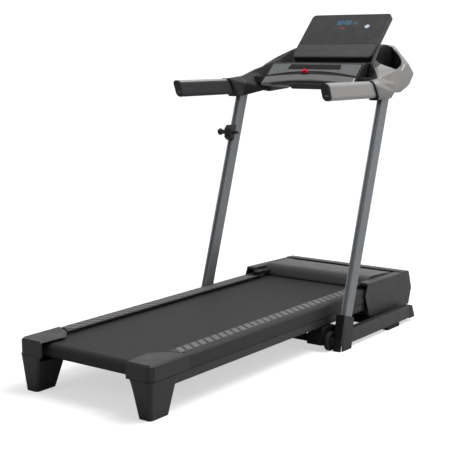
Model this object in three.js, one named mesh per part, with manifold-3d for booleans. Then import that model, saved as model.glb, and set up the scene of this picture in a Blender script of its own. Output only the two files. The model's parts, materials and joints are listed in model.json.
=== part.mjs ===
// A folding home treadmill, in millimetres, Z up. +X is the user's right and +Y is forward,
// towards the motor and the console. Inside the inner group, y is measured from the rear
// face of the deck's end caps, and z from the floor.
import * as THREE from "three";
import { ConvexGeometry } from "three/addons/geometries/ConvexGeometry.js";
import { mergeVertices } from "three/addons/utils/BufferGeometryUtils.js";
import Module from "manifold-3d";

const wasm = await Module();
wasm.setup();

// ---------------------------------------------------------------- driving dimensions
const overall = { length: 1735, height: 1290 };
const consoleDrop = 345; // from the object's top down to the console point
const gap = 0.4; // between pieces that touch
const runningGap = 0.06; // radial, between a shaft and what turns on it

// Places across the deck are named by how far they lie in from its sides.
const deck = {
  half: 290, // centre to the outer face of a foot rail
  top: 183,
  wall: 3.8,
  railWidth: 74,
  railBottom: 131,
  cornerDrop: 11, // how far the foot rail's outer top corner is bevelled
};
const cap = {
  innerRear: 104,
  innerFront: 112,
  innerEnd: 115, // y where the inner edge turns outwards
  knee: 72,
  kneeY: 162,
  outerY: 198,
  wall: 8,
  foot: [69, 12],
  footY: [14, 110],
  seam: [98, 0],
  seamY: [0, 150],
  seamZ: 128,
};
const frame = { setIn: 5.5, width: 27.5, bottom: 95, height: 33, wall: 2 };
const roller = { radius: 22.5, wall: 3, axle: 8, rearY: 62, z: 143, setIn: 56 };
const belt = { thickness: 2.5, play: 0.3, setIn: 62 };
const board = { thickness: 18, setIn: 22 };
const hood = {
  proud: 9, // how far each side stands out from the deck's side
  length: 370, // from the hood's rear top edge to its nose
  top: 201,
  topRear: 207,
  crown: 16,
  crownSetIn: 63,
  bottomRear: 67,
  bottomFront: 57,
  noseZ: 126,
  wall: 3,
};
const drive = {
  rollerSetback: 295, // from the nose back to the front roller
  motorSetback: 155,
  motorZ: 152,
  motorRadius: 41,
  motorLength: 238,
  flywheelRadius: 42,
  rollerPulley: 30,
  motorPulley: 13,
  pulleyWidth: 16,
  beltThickness: 3,
};
const pivot = { setback: 145, z: 163, bolt: 6, plate: 5, boss: 20 };
const upright = {
  width: 25,
  depth: 58, // measured level, along Y
  wall: 2,
  clearance: 36, // from the deck's side to the upright's inner face
  lean: 0.3147, // forward run for each unit of rise
  footSetback: 669.4, // from the nose back to the upright's centre line at the floor
  above: 46, // from the console point up to the upright's end
};
const base = {
  setIn: 5, // from the upright's outer face
  width: 32,
  lug: 4, // the plate on its inner side that holds the rear cross tube
  bottom: 16,
  height: 56,
  wall: 2,
  rearSetback: 673, // from the nose
  frontSetback: 105,
  capLength: 47,
};
const boot = { proud: 4, clearance: 0.5, wall: 3.2, height: 132, rear: 693, front: 613 };
const wheel = { radius: 37, width: 16, axle: 6, setback: 690 };
const handle = { rise: 43, reach: 436, tube: 15, width: 35, height: 66 };
const wing = { proud: 20, wall: 3, width: 148 };
const display = {
  setIn: 31, // from the console wing's inner edge
  slant: 253,
  thickness: 22,
  tilt: 45.6,
  forward: 161, // from the console point to the panel's lower edge
  rise: 164,
  corner: 16,
  lensStart: 78,
  wall: 3,
};
const tray = {
  setIn: 10, // from the console wing's inner edge
  thickness: 4,
  slant: 100.4,
  tilt: 44.2,
  matHalf: 126,
  matY: [70, 98], // up the slope
  keyX: -33,
  keyY: 57,
};
const cup = { radius: 34, wall: 3, floor: 55, setIn: 69, forward: 185 };
const latch = {
  below: 149, // from the console point down to the pin
  catchZ: 115.86, // height of the hole for the pin in the deck's frame
  pin: 6,
  stem: 9,
  knob: 14,
  knobEnd: 43, // from the upright's outer face to the knob's end
  standOff: 17, // from the upright's rear face to the pin
  travel: 14,
};

// ---------------------------------------------------------------- derived places
const nose = overall.length;
const half = deck.half;
const uprightInner = half + upright.clearance;
const uprightOuter = uprightInner + upright.width;
const uprightX = (uprightInner + uprightOuter) / 2;
const uprightY = (z) => nose - upright.footSetback + upright.lean * z;
// The console point: where the console hangs on the uprights' centre line.
const consoleZ = overall.height - consoleDrop;
const consoleY = uprightY(consoleZ);
const uprightTop = consoleZ + upright.above;
const uprightRearY = (z) => uprightY(z) - upright.depth / 2;
const uprightFrontY = (z) => uprightY(z) + upright.depth / 2;
const baseX = [uprightOuter - base.setIn - base.width, uprightOuter - base.setIn];
const wingHalf = uprightOuter + wing.proud;
const wingInner = wingHalf - wing.width;
const trayHalf = wingInner - tray.setIn;
const displayHalf = wingInner - display.setIn;
const latchZ = consoleZ - latch.below;
const latchY = uprightRearY(latchZ) - latch.standOff;
const knobReach = uprightOuter + latch.knobEnd;
const hoodRear = nose - hood.length;
const railEnd = hoodRear + 5;
const frontRollerY = nose - drive.rollerSetback;
const motorY = nose - drive.motorSetback;
const pivotY = nose - pivot.setback;
const frameOuter = half - frame.setIn;
const frameInner = frameOuter - frame.width;
const frameTop = frame.bottom + frame.height;
const rollerHalf = half - roller.setIn;
const beltHalf = half - belt.setIn;
const boardHalf = half - board.setIn;
const pulleyX = [rollerHalf + 4, rollerHalf + 4 + drive.pulleyWidth];
const beltInside = roller.radius + belt.play;
const boardTop = roller.z + roller.radius;
const boardBottom = boardTop - board.thickness;

const panelY = consoleY + display.forward;
const panelZ = consoleZ + display.rise;

// ---------------------------------------------------------------- geometry helpers
const alongX = new THREE.Matrix4().makeBasis(
  new THREE.Vector3(0, 1, 0),
  new THREE.Vector3(0, 0, 1),
  new THREE.Vector3(1, 0, 0),
);
const alongY = new THREE.Matrix4().makeBasis(
  new THREE.Vector3(1, 0, 0),
  new THREE.Vector3(0, 0, 1),
  new THREE.Vector3(0, -1, 0),
);

function outlineShape(points, holes = []) {
  const shape = new THREE.Shape(points.map(([a, b]) => new THREE.Vector2(a, b)));
  for (const hole of holes) {
    shape.holes.push(new THREE.Path(hole.map(([a, b]) => new THREE.Vector2(a, b))));
  }
  return shape;
}

// An outline of (y, z) points, from x0 to x1.
function prismX(points, x0, x1, holes) {
  const g = new THREE.ExtrudeGeometry(outlineShape(points, holes), {
    depth: x1 - x0,
    bevelEnabled: false,
  });
  return g.applyMatrix4(alongX).translate(x0, 0, 0);
}

// An outline of (x, z) points, from y0 to y1.
function prismY(points, y0, y1, holes) {
  const g = new THREE.ExtrudeGeometry(outlineShape(points, holes), {
    depth: y1 - y0,
    bevelEnabled: false,
  });
  return g.applyMatrix4(alongY).translate(0, y1, 0);
}

// An outline of (x, y) points, from z0 to z1.
function prismZ(points, z0, z1, holes) {
  const g = new THREE.ExtrudeGeometry(outlineShape(points, holes), {
    depth: z1 - z0,
    bevelEnabled: false,
  });
  return g.translate(0, 0, z0);
}

function box(x, y, z) {
  const g = new THREE.BoxGeometry(x[1] - x[0], y[1] - y[0], z[1] - z[0]);
  return g.translate((x[0] + x[1]) / 2, (y[0] + y[1]) / 2, (z[0] + z[1]) / 2);
}

// A round bar along X, centred on (y, z).
function barX(radius, x0, x1, y, z, sides = 24) {
  const g = new THREE.CylinderGeometry(radius, radius, x1 - x0, sides);
  return g.rotateZ(-Math.PI / 2).translate((x0 + x1) / 2, y, z);
}

// A turned piece along X: profile of (x, radius) points that closes on itself or on the axis.
function turnedX(profile, y, z, sides = 24) {
  const points = profile.map(([x, r]) => new THREE.Vector2(r, x));
  if (THREE.ShapeUtils.area(points) < 0) {
    points.reverse();
  }
  const g = new THREE.LatheGeometry(points, sides);
  return g.rotateZ(-Math.PI / 2).translate(0, y, z);
}

// A rounded rectangle's points, anticlockwise from its lower right corner.
function roundRect([x0, x1], [y0, y1], radius, steps = 4) {
  const points = [];
  const corners = [
    [x1 - radius, y0 + radius, -90],
    [x1 - radius, y1 - radius, 0],
    [x0 + radius, y1 - radius, 90],
    [x0 + radius, y0 + radius, 180],
  ];
  for (const [cx, cy, start] of corners) {
    for (let i = 0; i <= steps; i++) {
      const a = THREE.MathUtils.degToRad(start + (90 * i) / steps);
      points.push([cx + radius * Math.cos(a), cy + radius * Math.sin(a)]);
    }
  }
  return points;
}

function circle(cx, cy, radius, steps = 20) {
  const points = [];
  for (let i = 0; i < steps; i++) {
    const a = (2 * Math.PI * i) / steps;
    points.push([cx + radius * Math.cos(a), cy + radius * Math.sin(a)]);
  }
  return points;
}

// The outline moved inwards by a distance. The points run anticlockwise.
function inset(points, distance) {
  return points.map((point, i) => {
    const before = points[(i + points.length - 1) % points.length];
    const after = points[(i + 1) % points.length];
    const d1 = new THREE.Vector2(point[0] - before[0], point[1] - before[1]).normalize();
    const d2 = new THREE.Vector2(after[0] - point[0], after[1] - point[1]).normalize();
    const bisector = new THREE.Vector2(-d1.y - d2.y, d1.x + d2.x).normalize();
    const stretch = distance / (bisector.x * -d1.y + bisector.y * d1.x);
    return [point[0] + bisector.x * stretch, point[1] + bisector.y * stretch];
  });
}

// A solid through level sections. Each is an anticlockwise convex outline and its height.
function loft(sections) {
  const count = sections[0].points.length;
  const vertices = [];
  const faces = [];
  for (const { points, z } of sections) {
    for (const [x, y] of points) {
      vertices.push(x, y, z);
    }
  }
  for (let s = 0; s + 1 < sections.length; s++) {
    for (let i = 0; i < count; i++) {
      const a = s * count + i;
      const b = s * count + ((i + 1) % count);
      faces.push(a, b, b + count, a, b + count, a + count);
    }
  }
  const last = (sections.length - 1) * count;
  for (let i = 1; i + 1 < count; i++) {
    faces.push(0, i + 1, i, last, last + i, last + i + 1);
  }
  const g = new THREE.BufferGeometry();
  g.setAttribute("position", new THREE.Float32BufferAttribute(vertices, 3));
  g.setIndex(faces);
  return g;
}

function toSolid(geometry) {
  const g = geometry.clone();
  g.deleteAttribute("normal");
  g.deleteAttribute("uv");
  const merged = mergeVertices(g, 1e-3);
  const mesh = new wasm.Mesh({
    numProp: 3,
    vertProperties: merged.attributes.position.array,
    triVerts: new Uint32Array(merged.index.array),
  });
  return new wasm.Manifold(mesh);
}

function fromSolid(solid) {
  const mesh = solid.getMesh();
  const g = new THREE.BufferGeometry();
  g.setAttribute("position", new THREE.Float32BufferAttribute(mesh.vertProperties, 3));
  g.setIndex(new THREE.BufferAttribute(new Uint32Array(mesh.triVerts), 1));
  return g;
}

function cut(geometry, ...tools) {
  return fromSolid(tools.reduce((solid, tool) => solid.subtract(toSolid(tool)), toSolid(geometry)));
}

function join(geometry, ...others) {
  return fromSolid(others.reduce((solid, other) => solid.add(toSolid(other)), toSolid(geometry)));
}

function common(geometry, other) {
  return fromSolid(toSolid(geometry).intersect(toSolid(other)));
}

// ---------------------------------------------------------------- materials
const paint = (color, roughness, metalness) => {
  return new THREE.MeshStandardMaterial({ color, roughness, metalness });
};
const finishes = {
  blackPlastic: paint(0x343538, 0.6, 0),
  greyPlastic: paint(0x5c5d5e, 0.55, 0),
  silverPlastic: paint(0x9a9896, 0.45, 0.2),
  uprightPaint: paint(0x7c8488, 0.4, 0.4),
  framePaint: paint(0x303236, 0.5, 0.3),
  rubber: paint(0x262628, 0.85, 0),
  beltRubber: paint(0x3a393a, 0.9, 0),
  steel: paint(0x9fa2a5, 0.35, 0.9),
  wood: paint(0x8a7350, 0.8, 0),
  glass: paint(0x18191b, 0.1, 0),
  keyRed: paint(0xc8202c, 0.4, 0),
  foam: paint(0x2a2a2d, 0.8, 0),
};

// ---------------------------------------------------------------- scene graph
const treadmill = new THREE.Group();
const fromRear = new THREE.Group(); // y counted from the rear face, x from the middle of the deck
fromRear.position.set((knobReach - wingHalf) / 2, -overall.length / 2, 0);
treadmill.add(fromRear);

function add(name, geometry, material, parent = fromRear) {
  const mesh = new THREE.Mesh(geometry, material);
  mesh.name = name;
  parent.add(mesh);
  return mesh;
}

// One piece on the right, and its mirror image on the left.
function addPair(name, geometry, material, parent = fromRear) {
  add(name + "_right", geometry, material, parent);
  add(name + "_left", geometry, material, parent).scale.x = -1;
}

// ---------------------------------------------------------------- base
function addBase() {
  const x = baseX;
  const z = [base.bottom, base.bottom + base.height];
  const rear = nose - base.rearSetback;
  const front = nose - base.frontSetback;
  const wallOutline = inset(roundRect(x, z, 5, 2), base.wall);
  const tube = prismY(roundRect(x, z, 5, 2), rear, front, [wallOutline]);
  const wheelY = nose - wheel.setback;
  const wheelZ = wheel.radius;
  const lug = box([x[0], x[0] + base.lug], [wheelY - 14, rear + 20], [wheelZ - 15, wheelZ + 15]);
  addPair("base_tube", join(tube, lug), finishes.framePaint);

  const capEnd = front + base.capLength;
  const capOutline = [
    [front + gap, z[0] - 2],
    [capEnd - 2, z[0] - 2],
    [capEnd, z[0] + 4],
    [capEnd - 20, z[1] - 10],
    [capEnd - 26, z[1] - 3],
    [front + gap, z[1] + 1],
  ];
  addPair("base_end_cap", prismX(capOutline, x[0] - 1, x[1] + 1), finishes.blackPlastic);

  const footEnd = front - 85;
  const foot = prismX(
    [
      [footEnd - 104, 3],
      [footEnd - 100, 0],
      [footEnd - 3, 0],
      [footEnd, 3],
      [footEnd, z[0] - gap],
      [footEnd - 104, z[0] - gap],
    ],
    x[0] + 3,
    x[1] - 3,
  );
  addPair("base_foot", foot, finishes.rubber);

  const stub = x[0] - gap;
  const shoulder = stub - wheel.width - 3;
  const crossbar = turnedX(
    [
      [-stub, 0],
      [-stub, wheel.axle],
      [-shoulder, wheel.axle],
      [-shoulder, 15],
      [shoulder, 15],
      [shoulder, wheel.axle],
      [stub, wheel.axle],
      [stub, 0],
    ],
    wheelY,
    wheelZ,
    20,
  );
  add("base_cross_rear", crossbar, finishes.framePaint);

  const wheelX = [shoulder + 1, stub - 1];
  const bore = wheel.axle + runningGap;
  const tyre = [
    [wheelX[0], bore],
    [wheelX[1], bore],
    [wheelX[1], 12],
    [wheelX[1] - 3, 14],
    [wheelX[1] - 3, 27],
    [wheelX[1], 29],
    [wheelX[1], wheel.radius - 3],
    [wheelX[1] - 3, wheel.radius],
    [wheelX[0] + 3, wheel.radius],
    [wheelX[0], wheel.radius - 3],
    [wheelX[0], 29],
    [wheelX[0] + 3, 27],
    [wheelX[0] + 3, 14],
    [wheelX[0], 12],
    [wheelX[0], bore],
  ];
  addPair("transport_wheel", turnedX(tyre, wheelY, wheelZ, 28), finishes.rubber);
}

// The front cross tube of the base, with the two plates that carry the deck's hinge bolts.
function addPivotFrame() {
  const tubeY = [pivotY - 165, pivotY - 125];
  const tubeZ = [18, 53];
  const tubeHalf = baseX[0] - gap;
  const outline = roundRect(tubeY, tubeZ, 5, 2);
  const tube = prismX(outline, -tubeHalf, tubeHalf, [inset(outline, 2.5)]);
  const plateX = [frameOuter + 3, frameOuter + 3 + pivot.plate];
  const boss = [];
  for (let i = 0; i <= 8; i++) {
    const a = THREE.MathUtils.degToRad(-10 + 20 * i);
    boss.push([pivotY + pivot.boss * Math.cos(a), pivot.z + pivot.boss * Math.sin(a)]);
  }
  const plateOutline = [
    [tubeY[0] + 4, tubeZ[1] - 1],
    [tubeY[1] - 4, tubeZ[1] - 1],
    [tubeY[1] - 1, tubeZ[0] + 16],
    [pivotY - 48, tubeZ[0] + 16],
    [pivotY + 16, 58],
    ...boss,
  ];
  const bolt = circle(pivotY, pivot.z, pivot.bolt + gap, 24);
  const plate = prismX(plateOutline, plateX[0], plateX[1], [bolt]);
  const otherPlate = prismX(plateOutline, -plateX[1], -plateX[0], [bolt]);
  add("pivot_frame", join(tube, plate, otherPlate), finishes.framePaint);

  const head = plateX[1] + gap;
  const boltEnd = frameOuter - 18;
  const profile = [
    [boltEnd, 0],
    [boltEnd, pivot.bolt + 3.5],
    [boltEnd + 6, pivot.bolt + 3.5],
    [boltEnd + 6, pivot.bolt],
    [head, pivot.bolt],
    [head, pivot.bolt + 4],
    [head + 2.6, pivot.bolt + 4],
    [head + 2.6, 0],
  ];
  addPair("pivot_bolt", turnedX(profile, pivotY, pivot.z, 24), finishes.steel);
}

// ---------------------------------------------------------------- uprights
// The level section of an upright, with two ridges and a groove on its rear face.
function uprightSection() {
  const x0 = uprightInner;
  const x1 = uprightOuter;
  const rear = -upright.depth / 2;
  const front = upright.depth / 2;
  const middle = (x0 + x1) / 2;
  return [
    [x0 + 2, rear],
    [x0 + 7, rear],
    [middle - 3, rear + 3],
    [middle + 3, rear + 3],
    [x1 - 7, rear],
    [x1 - 2, rear],
    [x1, rear + 4],
    [x1, front - 6],
    [x1 - 5, front],
    [x0 + 5, front],
    [x0, front - 6],
    [x0, rear + 4],
  ];
}

function uprightTube(z0, z1) {
  const outer = uprightSection();
  const x = [uprightInner + upright.wall, uprightOuter - upright.wall];
  const y = [-upright.depth / 2 + 5.5, upright.depth / 2 - upright.wall * 1.5];
  const tube = prismZ(outer, z0, z1, [roundRect(x, y, 3, 2)]);
  const shear = new THREE.Matrix4().makeShear(0, 0, 0, 0, 0, upright.lean);
  return tube.applyMatrix4(shear).translate(0, uprightY(0), 0);
}

function addUprights() {
  const bottom = base.bottom + base.height + gap;
  addPair("upright", uprightTube(bottom, uprightTop), finishes.uprightPaint);

  const inner = baseX[0] + base.lug + boot.clearance;
  const outer = uprightOuter + boot.proud;
  const rear = nose - boot.rear;
  const front = nose - boot.front;
  const top = boot.height;
  const side = [
    [rear, 0],
    [front, 0],
    [front + 16, top - 13],
    [rear + 24, top + 9],
  ];
  const plan = [
    [inner, rear - 10],
    [outer - 14, rear - 10],
    [outer - 5, rear + 6],
    [outer, rear + 22],
    [outer, front + 40],
    [inner, front + 40],
  ];
  const block = common(prismX(side, inner, outer), prismZ(plan, -1, top + 20));
  const hollowSide = [
    [rear + 5.6, -5],
    [front - 4, -5],
    [front + 16 - boot.wall, top - 13 - boot.wall],
    [front + 16 - boot.wall, top + 30],
    [rear + 30, top + 30],
  ];
  const hollow = prismX(hollowSide, inner - 5, uprightOuter + gap);
  const tubeTop = base.bottom + base.height + gap;
  const tubeExit = box([inner - 5, baseX[1] + gap], [front - 10, front + 40], [-5, tubeTop]);
  addPair("upright_boot", cut(block, hollow, tubeExit), finishes.blackPlastic);
}

// ---------------------------------------------------------------- deck
const railTubeRear = cap.footY[0] + 46;
const railTubeFront = pivotY + 26;

// The hole for the latch pin in the deck's frame, as the deck lies flat. It is as far from
// the pivot as the pin is, so the deck folds until the two are in line.
function catchPlace() {
  const reach = Math.hypot(latchY - pivotY, latchZ - pivot.z);
  const dz = latch.catchZ - pivot.z;
  return [pivotY - Math.sqrt(reach * reach - dz * dz), latch.catchZ];
}

function addFrame() {
  const x = [frameInner, frameOuter];
  const z = [frame.bottom, frameTop];
  const outline = roundRect(x, z, 4, 2);
  const tube = prismY(outline, railTubeRear, railTubeFront, [inset(outline, frame.wall)]);
  const lugY = [pivotY - 24, railTubeFront];
  const lugX = [frameOuter - 6, frameOuter];
  const lug = cut(
    box(lugX, lugY, [frameTop - 1, pivot.z + 15]),
    barX(pivot.bolt + gap, lugX[0] - 1, lugX[1] + 1, pivotY, pivot.z),
  );
  const rail = join(tube, lug);
  add("frame_rail_right", rail, finishes.framePaint);
  const [catchY, catchZ] = catchPlace();
  const catchHole = barX(latch.pin + 1.5, frameOuter - 10, frameOuter + 10, catchY, catchZ);
  add("frame_rail_left", cut(rail, catchHole), finishes.framePaint).scale.x = -1;

  const inside = frameInner - gap;
  const crossY = [cap.kneeY + 30, cap.kneeY + 70];
  const crossOutline = roundRect(crossY, [frame.bottom, frame.bottom + 18], 3, 2);
  const crossTube = prismX(crossOutline, -inside, inside, [inset(crossOutline, 2)]);
  add("frame_cross_rear", crossTube, finishes.framePaint);

  const plateOutline = [
    [motorY - 110, frame.bottom],
    [pivotY + 25, frame.bottom],
    [pivotY + 25, frame.bottom + 14],
    [pivotY + 21, frame.bottom + 14],
    [pivotY + 21, frame.bottom + 4],
    [motorY - 106, frame.bottom + 4],
    [motorY - 106, frame.bottom + 14],
    [motorY - 110, frame.bottom + 14],
  ];
  add("motor_plate", prismX(plateOutline, -inside, inside), finishes.framePaint);
}

function addFootRails() {
  const { top, wall, railWidth, railBottom, cornerDrop } = deck;
  const railInner = half - railWidth;
  const profile = [
    [railInner, top - wall],
    [half - 17, top - wall],
    [half - wall - 3, top - cornerDrop + 3 - wall],
    [half - wall, top - cornerDrop - wall],
    [half - wall, railBottom],
    [half, railBottom],
    [half, top - cornerDrop],
    [half - 5, top - cornerDrop + 6],
    [half - 15, top],
    [railInner, top],
  ];
  const rail = prismY(profile, cap.innerEnd, railEnd);
  const slope = (cap.outerY - cap.kneeY) / cap.knee;
  const capSide = [
    [railInner - 20, 0],
    [half + 20, 0],
    [half + 20, cap.outerY + 20 * slope + gap],
    [railInner - 20, cap.kneeY + (cap.knee - railWidth - 20) * slope + gap],
  ];
  addPair("foot_rail", cut(rail, prismZ(capSide, railBottom - 5, top + 5)), finishes.greyPlastic);
}

// The rear end caps, each with the leg that the deck's rear end stands on.
function addRearCaps() {
  const { top } = deck;
  const plan = [
    [half - cap.innerRear, 3],
    [half - cap.innerRear + 3, 0],
    [half - 22, 0],
    [half - 8, 7],
    [half, 22],
    [half, cap.outerY],
    [half - cap.knee, cap.kneeY],
    [half - cap.innerFront, cap.innerEnd],
  ];
  const upper = prismZ(plan, cap.seamZ - 1, top - 6);
  const crown = loft([
    { points: plan, z: top - 7 },
    { points: inset(plan, 6), z: top },
  ]);
  const footX = [half - cap.foot[0], half - cap.foot[1]];
  const seamX = [half - cap.seam[0], half - cap.seam[1]];
  const [footY0, footY1] = cap.footY;
  const leg = loft([
    { points: roundRect(footX, cap.footY, 12), z: 0 },
    { points: roundRect([seamX[0] + 10, seamX[1] - 3], [4, 136], 14), z: frame.bottom },
    { points: roundRect(seamX, cap.seamY, 16), z: cap.seamZ },
  ]);
  const legHollow = loft([
    { points: roundRect([footX[0] + 5, footX[1] - 5], [footY0 + 5, footY1 - 5], 8), z: -1 },
    { points: roundRect([footX[0] - 4, footX[1] - 2], [footY0 + 2, footY1 + 8], 8), z: frame.bottom - 9 },
  ]);
  const rollerRoom = box([0, frameInner], [cap.wall, 400], [roller.z - beltInside - 12, top - 5]);
  const axleHole = barX(roller.axle + gap, frameInner - 1, boardHalf + gap, roller.rearY, roller.z);
  const boardRoom = box([0, boardHalf + 1], [roller.rearY + 30, 400], [boardBottom - 3, top - 5]);
  const railRoom = box(
    [frameInner - gap, frameOuter + gap],
    [railTubeRear - gap, 400],
    [frame.bottom - gap, frameTop + gap],
  );
  const padRoom = box([frameInner - gap, boardHalf + 1], [roller.rearY + 30, 400], [frameTop, boardBottom]);
  const whole = join(upper, crown, leg);
  addPair(
    "rear_cap",
    cut(whole, legHollow, rollerRoom, axleHole, boardRoom, railRoom, padRoom),
    finishes.blackPlastic,
  );
}

// A closed band round two rollers, as an outline with a hole. Each end is [y, z, radius].
function bandX(rear, front, thickness, x0, x1, steps = 12) {
  const dy = front[0] - rear[0];
  const dz = front[1] - rear[1];
  const line = Math.atan2(dz, dy);
  const side = Math.acos((rear[2] - front[2]) / Math.hypot(dy, dz));
  const ring = (extra) => {
    const points = [];
    for (let i = 0; i <= steps; i++) {
      const a = line - side + (2 * side * i) / steps;
      points.push([front[0] + (front[2] + extra) * Math.cos(a), front[1] + (front[2] + extra) * Math.sin(a)]);
    }
    for (let i = 0; i <= steps; i++) {
      const a = line + side + (2 * (Math.PI - side) * i) / steps;
      points.push([rear[0] + (rear[2] + extra) * Math.cos(a), rear[1] + (rear[2] + extra) * Math.sin(a)]);
    }
    return points;
  };
  return prismX(ring(thickness), x0, x1, [ring(0)]);
}

function addBelt() {
  const rear = [roller.rearY, roller.z, beltInside];
  const front = [frontRollerY, roller.z, beltInside];
  add("walking_belt", bandX(rear, front, belt.thickness, -beltHalf, beltHalf), finishes.beltRubber);

  const rearEnd = roller.rearY + roller.radius + 12;
  const frontEnd = frontRollerY - roller.radius - 12;
  const boardOutline = [
    [rearEnd, boardBottom],
    [frontEnd, boardBottom],
    [frontEnd, boardTop - 3],
    [frontEnd - 6, boardTop],
    [rearEnd + 6, boardTop],
    [rearEnd, boardTop - 3],
  ];
  add("deck_board", prismX(boardOutline, -boardHalf, boardHalf), finishes.wood);

  const padX = [frameInner + 1, boardHalf - 1];
  const pad = box(padX, [cap.outerY + 22, railEnd - 60], [frameTop + gap, boardBottom - gap]);
  addPair("deck_cushion", pad, finishes.rubber);
}

// A roller: a tube on its fixed axle, with a belt pulley on its left end if it has one.
function addRoller(name, y, pulleyRadius) {
  const bore = roller.axle + runningGap;
  const { radius, wall, z } = roller;
  const leftEnd = pulleyRadius
    ? [
        [-rollerHalf, radius],
        [-rollerHalf, radius - wall],
        [-pulleyX[0], radius - wall],
        [-pulleyX[0], pulleyRadius],
        [-pulleyX[1], pulleyRadius],
        [-pulleyX[1], bore],
      ]
    : [
        [-rollerHalf, radius],
        [-rollerHalf, bore],
      ];
  const profile = [[rollerHalf, bore], [rollerHalf, radius], ...leftEnd, [rollerHalf, bore]];
  add(name, turnedX(profile, y, z, 28), finishes.steel);
}

function addDrive() {
  addRoller("rear_roller", roller.rearY, 0);
  addRoller("front_roller", frontRollerY, drive.rollerPulley);
  const rearHalf = boardHalf - 1;
  const frontHalf = frameInner - gap;
  add("rear_axle", barX(roller.axle, -rearHalf, rearHalf, roller.rearY, roller.z, 16), finishes.steel);
  add("front_axle", barX(roller.axle, -frontHalf, frontHalf, frontRollerY, roller.z, 16), finishes.steel);

  const [near, far] = pulleyX;
  const shaft = 7;
  const flywheel = turnedX(
    [
      [-far, 0],
      [-far, drive.motorPulley],
      [-near, drive.motorPulley],
      [-near, drive.flywheelRadius - 6],
      [-near + 3, drive.flywheelRadius],
      [-near + 26, drive.flywheelRadius],
      [-near + 26, 14],
      [-near + 34, 14],
      [-near + 34, shaft],
      [-near + 60, shaft],
      [-near + 60, 0],
    ],
    motorY,
    drive.motorZ,
    28,
  );
  add("flywheel", flywheel, finishes.steel);

  const motorX = [-near + 40, -near + 40 + drive.motorLength];
  const body = barX(drive.motorRadius, motorX[0], motorX[1], motorY, drive.motorZ, 28);
  const foot = box(
    [motorX[0] + 30, motorX[1] - 30],
    [motorY - 28, motorY + 28],
    [frame.bottom + 4 + gap, drive.motorZ - 20],
  );
  const shaftRoom = barX(shaft + runningGap, motorX[0] - 1, -near + 64, motorY, drive.motorZ);
  add("drive_motor", cut(join(body, foot), shaftRoom), finishes.framePaint);

  const band = bandX(
    [frontRollerY, roller.z, drive.rollerPulley + belt.play],
    [motorY, drive.motorZ, drive.motorPulley + belt.play],
    drive.beltThickness,
    -far + 1,
    -near - 1,
  );
  add("drive_belt", band, finishes.rubber);
}

function addHood() {
  const { top, topRear, crown, wall } = hood;
  const outerHalf = half + hood.proud;
  const crownHalf = outerHalf - hood.crownSetIn;
  const rear = hoodRear;
  const side = [
    [rear - 38, 157],
    [rear, hood.bottomRear],
    [nose - 23, hood.bottomFront],
    [nose, hood.noseZ],
    [nose - 27, top],
    [rear - 12, topRear],
  ];
  const crownSide = [
    [rear - 3, deck.top - 12],
    [nose - 60, deck.top - 12],
    [nose - 55, top - 0.5],
    [nose - 120, top + crown - 4],
    [rear + 110, topRear + crown],
    [rear + 40, topRear + crown - 5],
    [rear + 10, topRear + 2],
    [rear - 3, topRear - 8],
  ];
  const outer = join(prismX(side, -outerHalf, outerHalf), prismX(crownSide, -crownHalf, crownHalf));
  const bottom = hood.bottomFront - 20;
  const insideSide = inset(side, wall);
  const crownInside = inset(crownSide, wall);
  const floorOpening = [
    [insideSide[1][0], bottom],
    [insideSide[2][0], bottom],
    [insideSide[2][0], insideSide[2][1] + 1],
    [insideSide[1][0], insideSide[1][1] + 1],
  ];
  const inner = outerHalf - wall;
  const rearOpening = box([-inner, inner], [rear - 60, rear + 40], [bottom, deck.top + gap]);
  const notch = box([crownHalf + 4, inner], [rear - 60, rear + 20], [bottom, topRear - wall - 2]);
  const otherNotch = box([-inner, -crownHalf - 4], [rear - 60, rear + 20], [bottom, topRear - wall - 2]);
  const shell = cut(
    outer,
    prismX(insideSide, -inner, inner),
    prismX(crownInside, -crownHalf + wall, crownHalf - wall),
    prismX(floorOpening, -inner, inner),
    rearOpening,
    notch,
    otherNotch,
  );
  const plateZ = [108, 150];
  const plateRoom = box([118, 202], [nose - 40, nose + 5], plateZ);
  add("motor_hood", cut(shell, plateRoom), finishes.greyPlastic);

  const inside = frameInner - 4;
  const pan = [
    [frontRollerY + 35, frame.bottom - 10],
    [nose - 26, frame.bottom - 10],
    [nose - 24, frame.bottom - 7],
    [frontRollerY + 35, frame.bottom - 7],
  ];
  add("belly_pan", prismX(pan, -inside, inside), finishes.blackPlastic);

  // The plate that holds the power switch and the mains inlet, set in the hood's nose.
  const backY = nose - 34;
  const faceY = nose - 12;
  const plate = box([118 + gap, 202 - gap], [backY, faceY], [plateZ[0] + gap, plateZ[1] - gap]);
  const rockerRoom = box([128, 156], [faceY - 16, nose], [118, 140]);
  const inletRoom = box([166, 194], [faceY - 18, nose], [119, 139]);
  const pins = [172, 180, 188].map((x) => box([x - 1, x + 1], [faceY - 19, faceY - 6], [127, 132]));
  add("power_inlet", join(cut(plate, rockerRoom, inletRoom), ...pins), finishes.blackPlastic);
  const rocker = [
    [faceY - 6, 120],
    [faceY + 2.5, 120],
    [faceY + 1, 129],
    [faceY + 2.5, 138],
    [faceY - 6, 138],
    [faceY - 9, 129],
  ];
  add("power_switch", prismX(rocker, 129.5, 154.5), finishes.keyRed);
}

// ---------------------------------------------------------------- handlebars and console
const barX0 = uprightX;
const barZ = consoleZ + handle.rise;
const gripRear = consoleY - handle.reach;
const gripFront = consoleY - 55;

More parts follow.
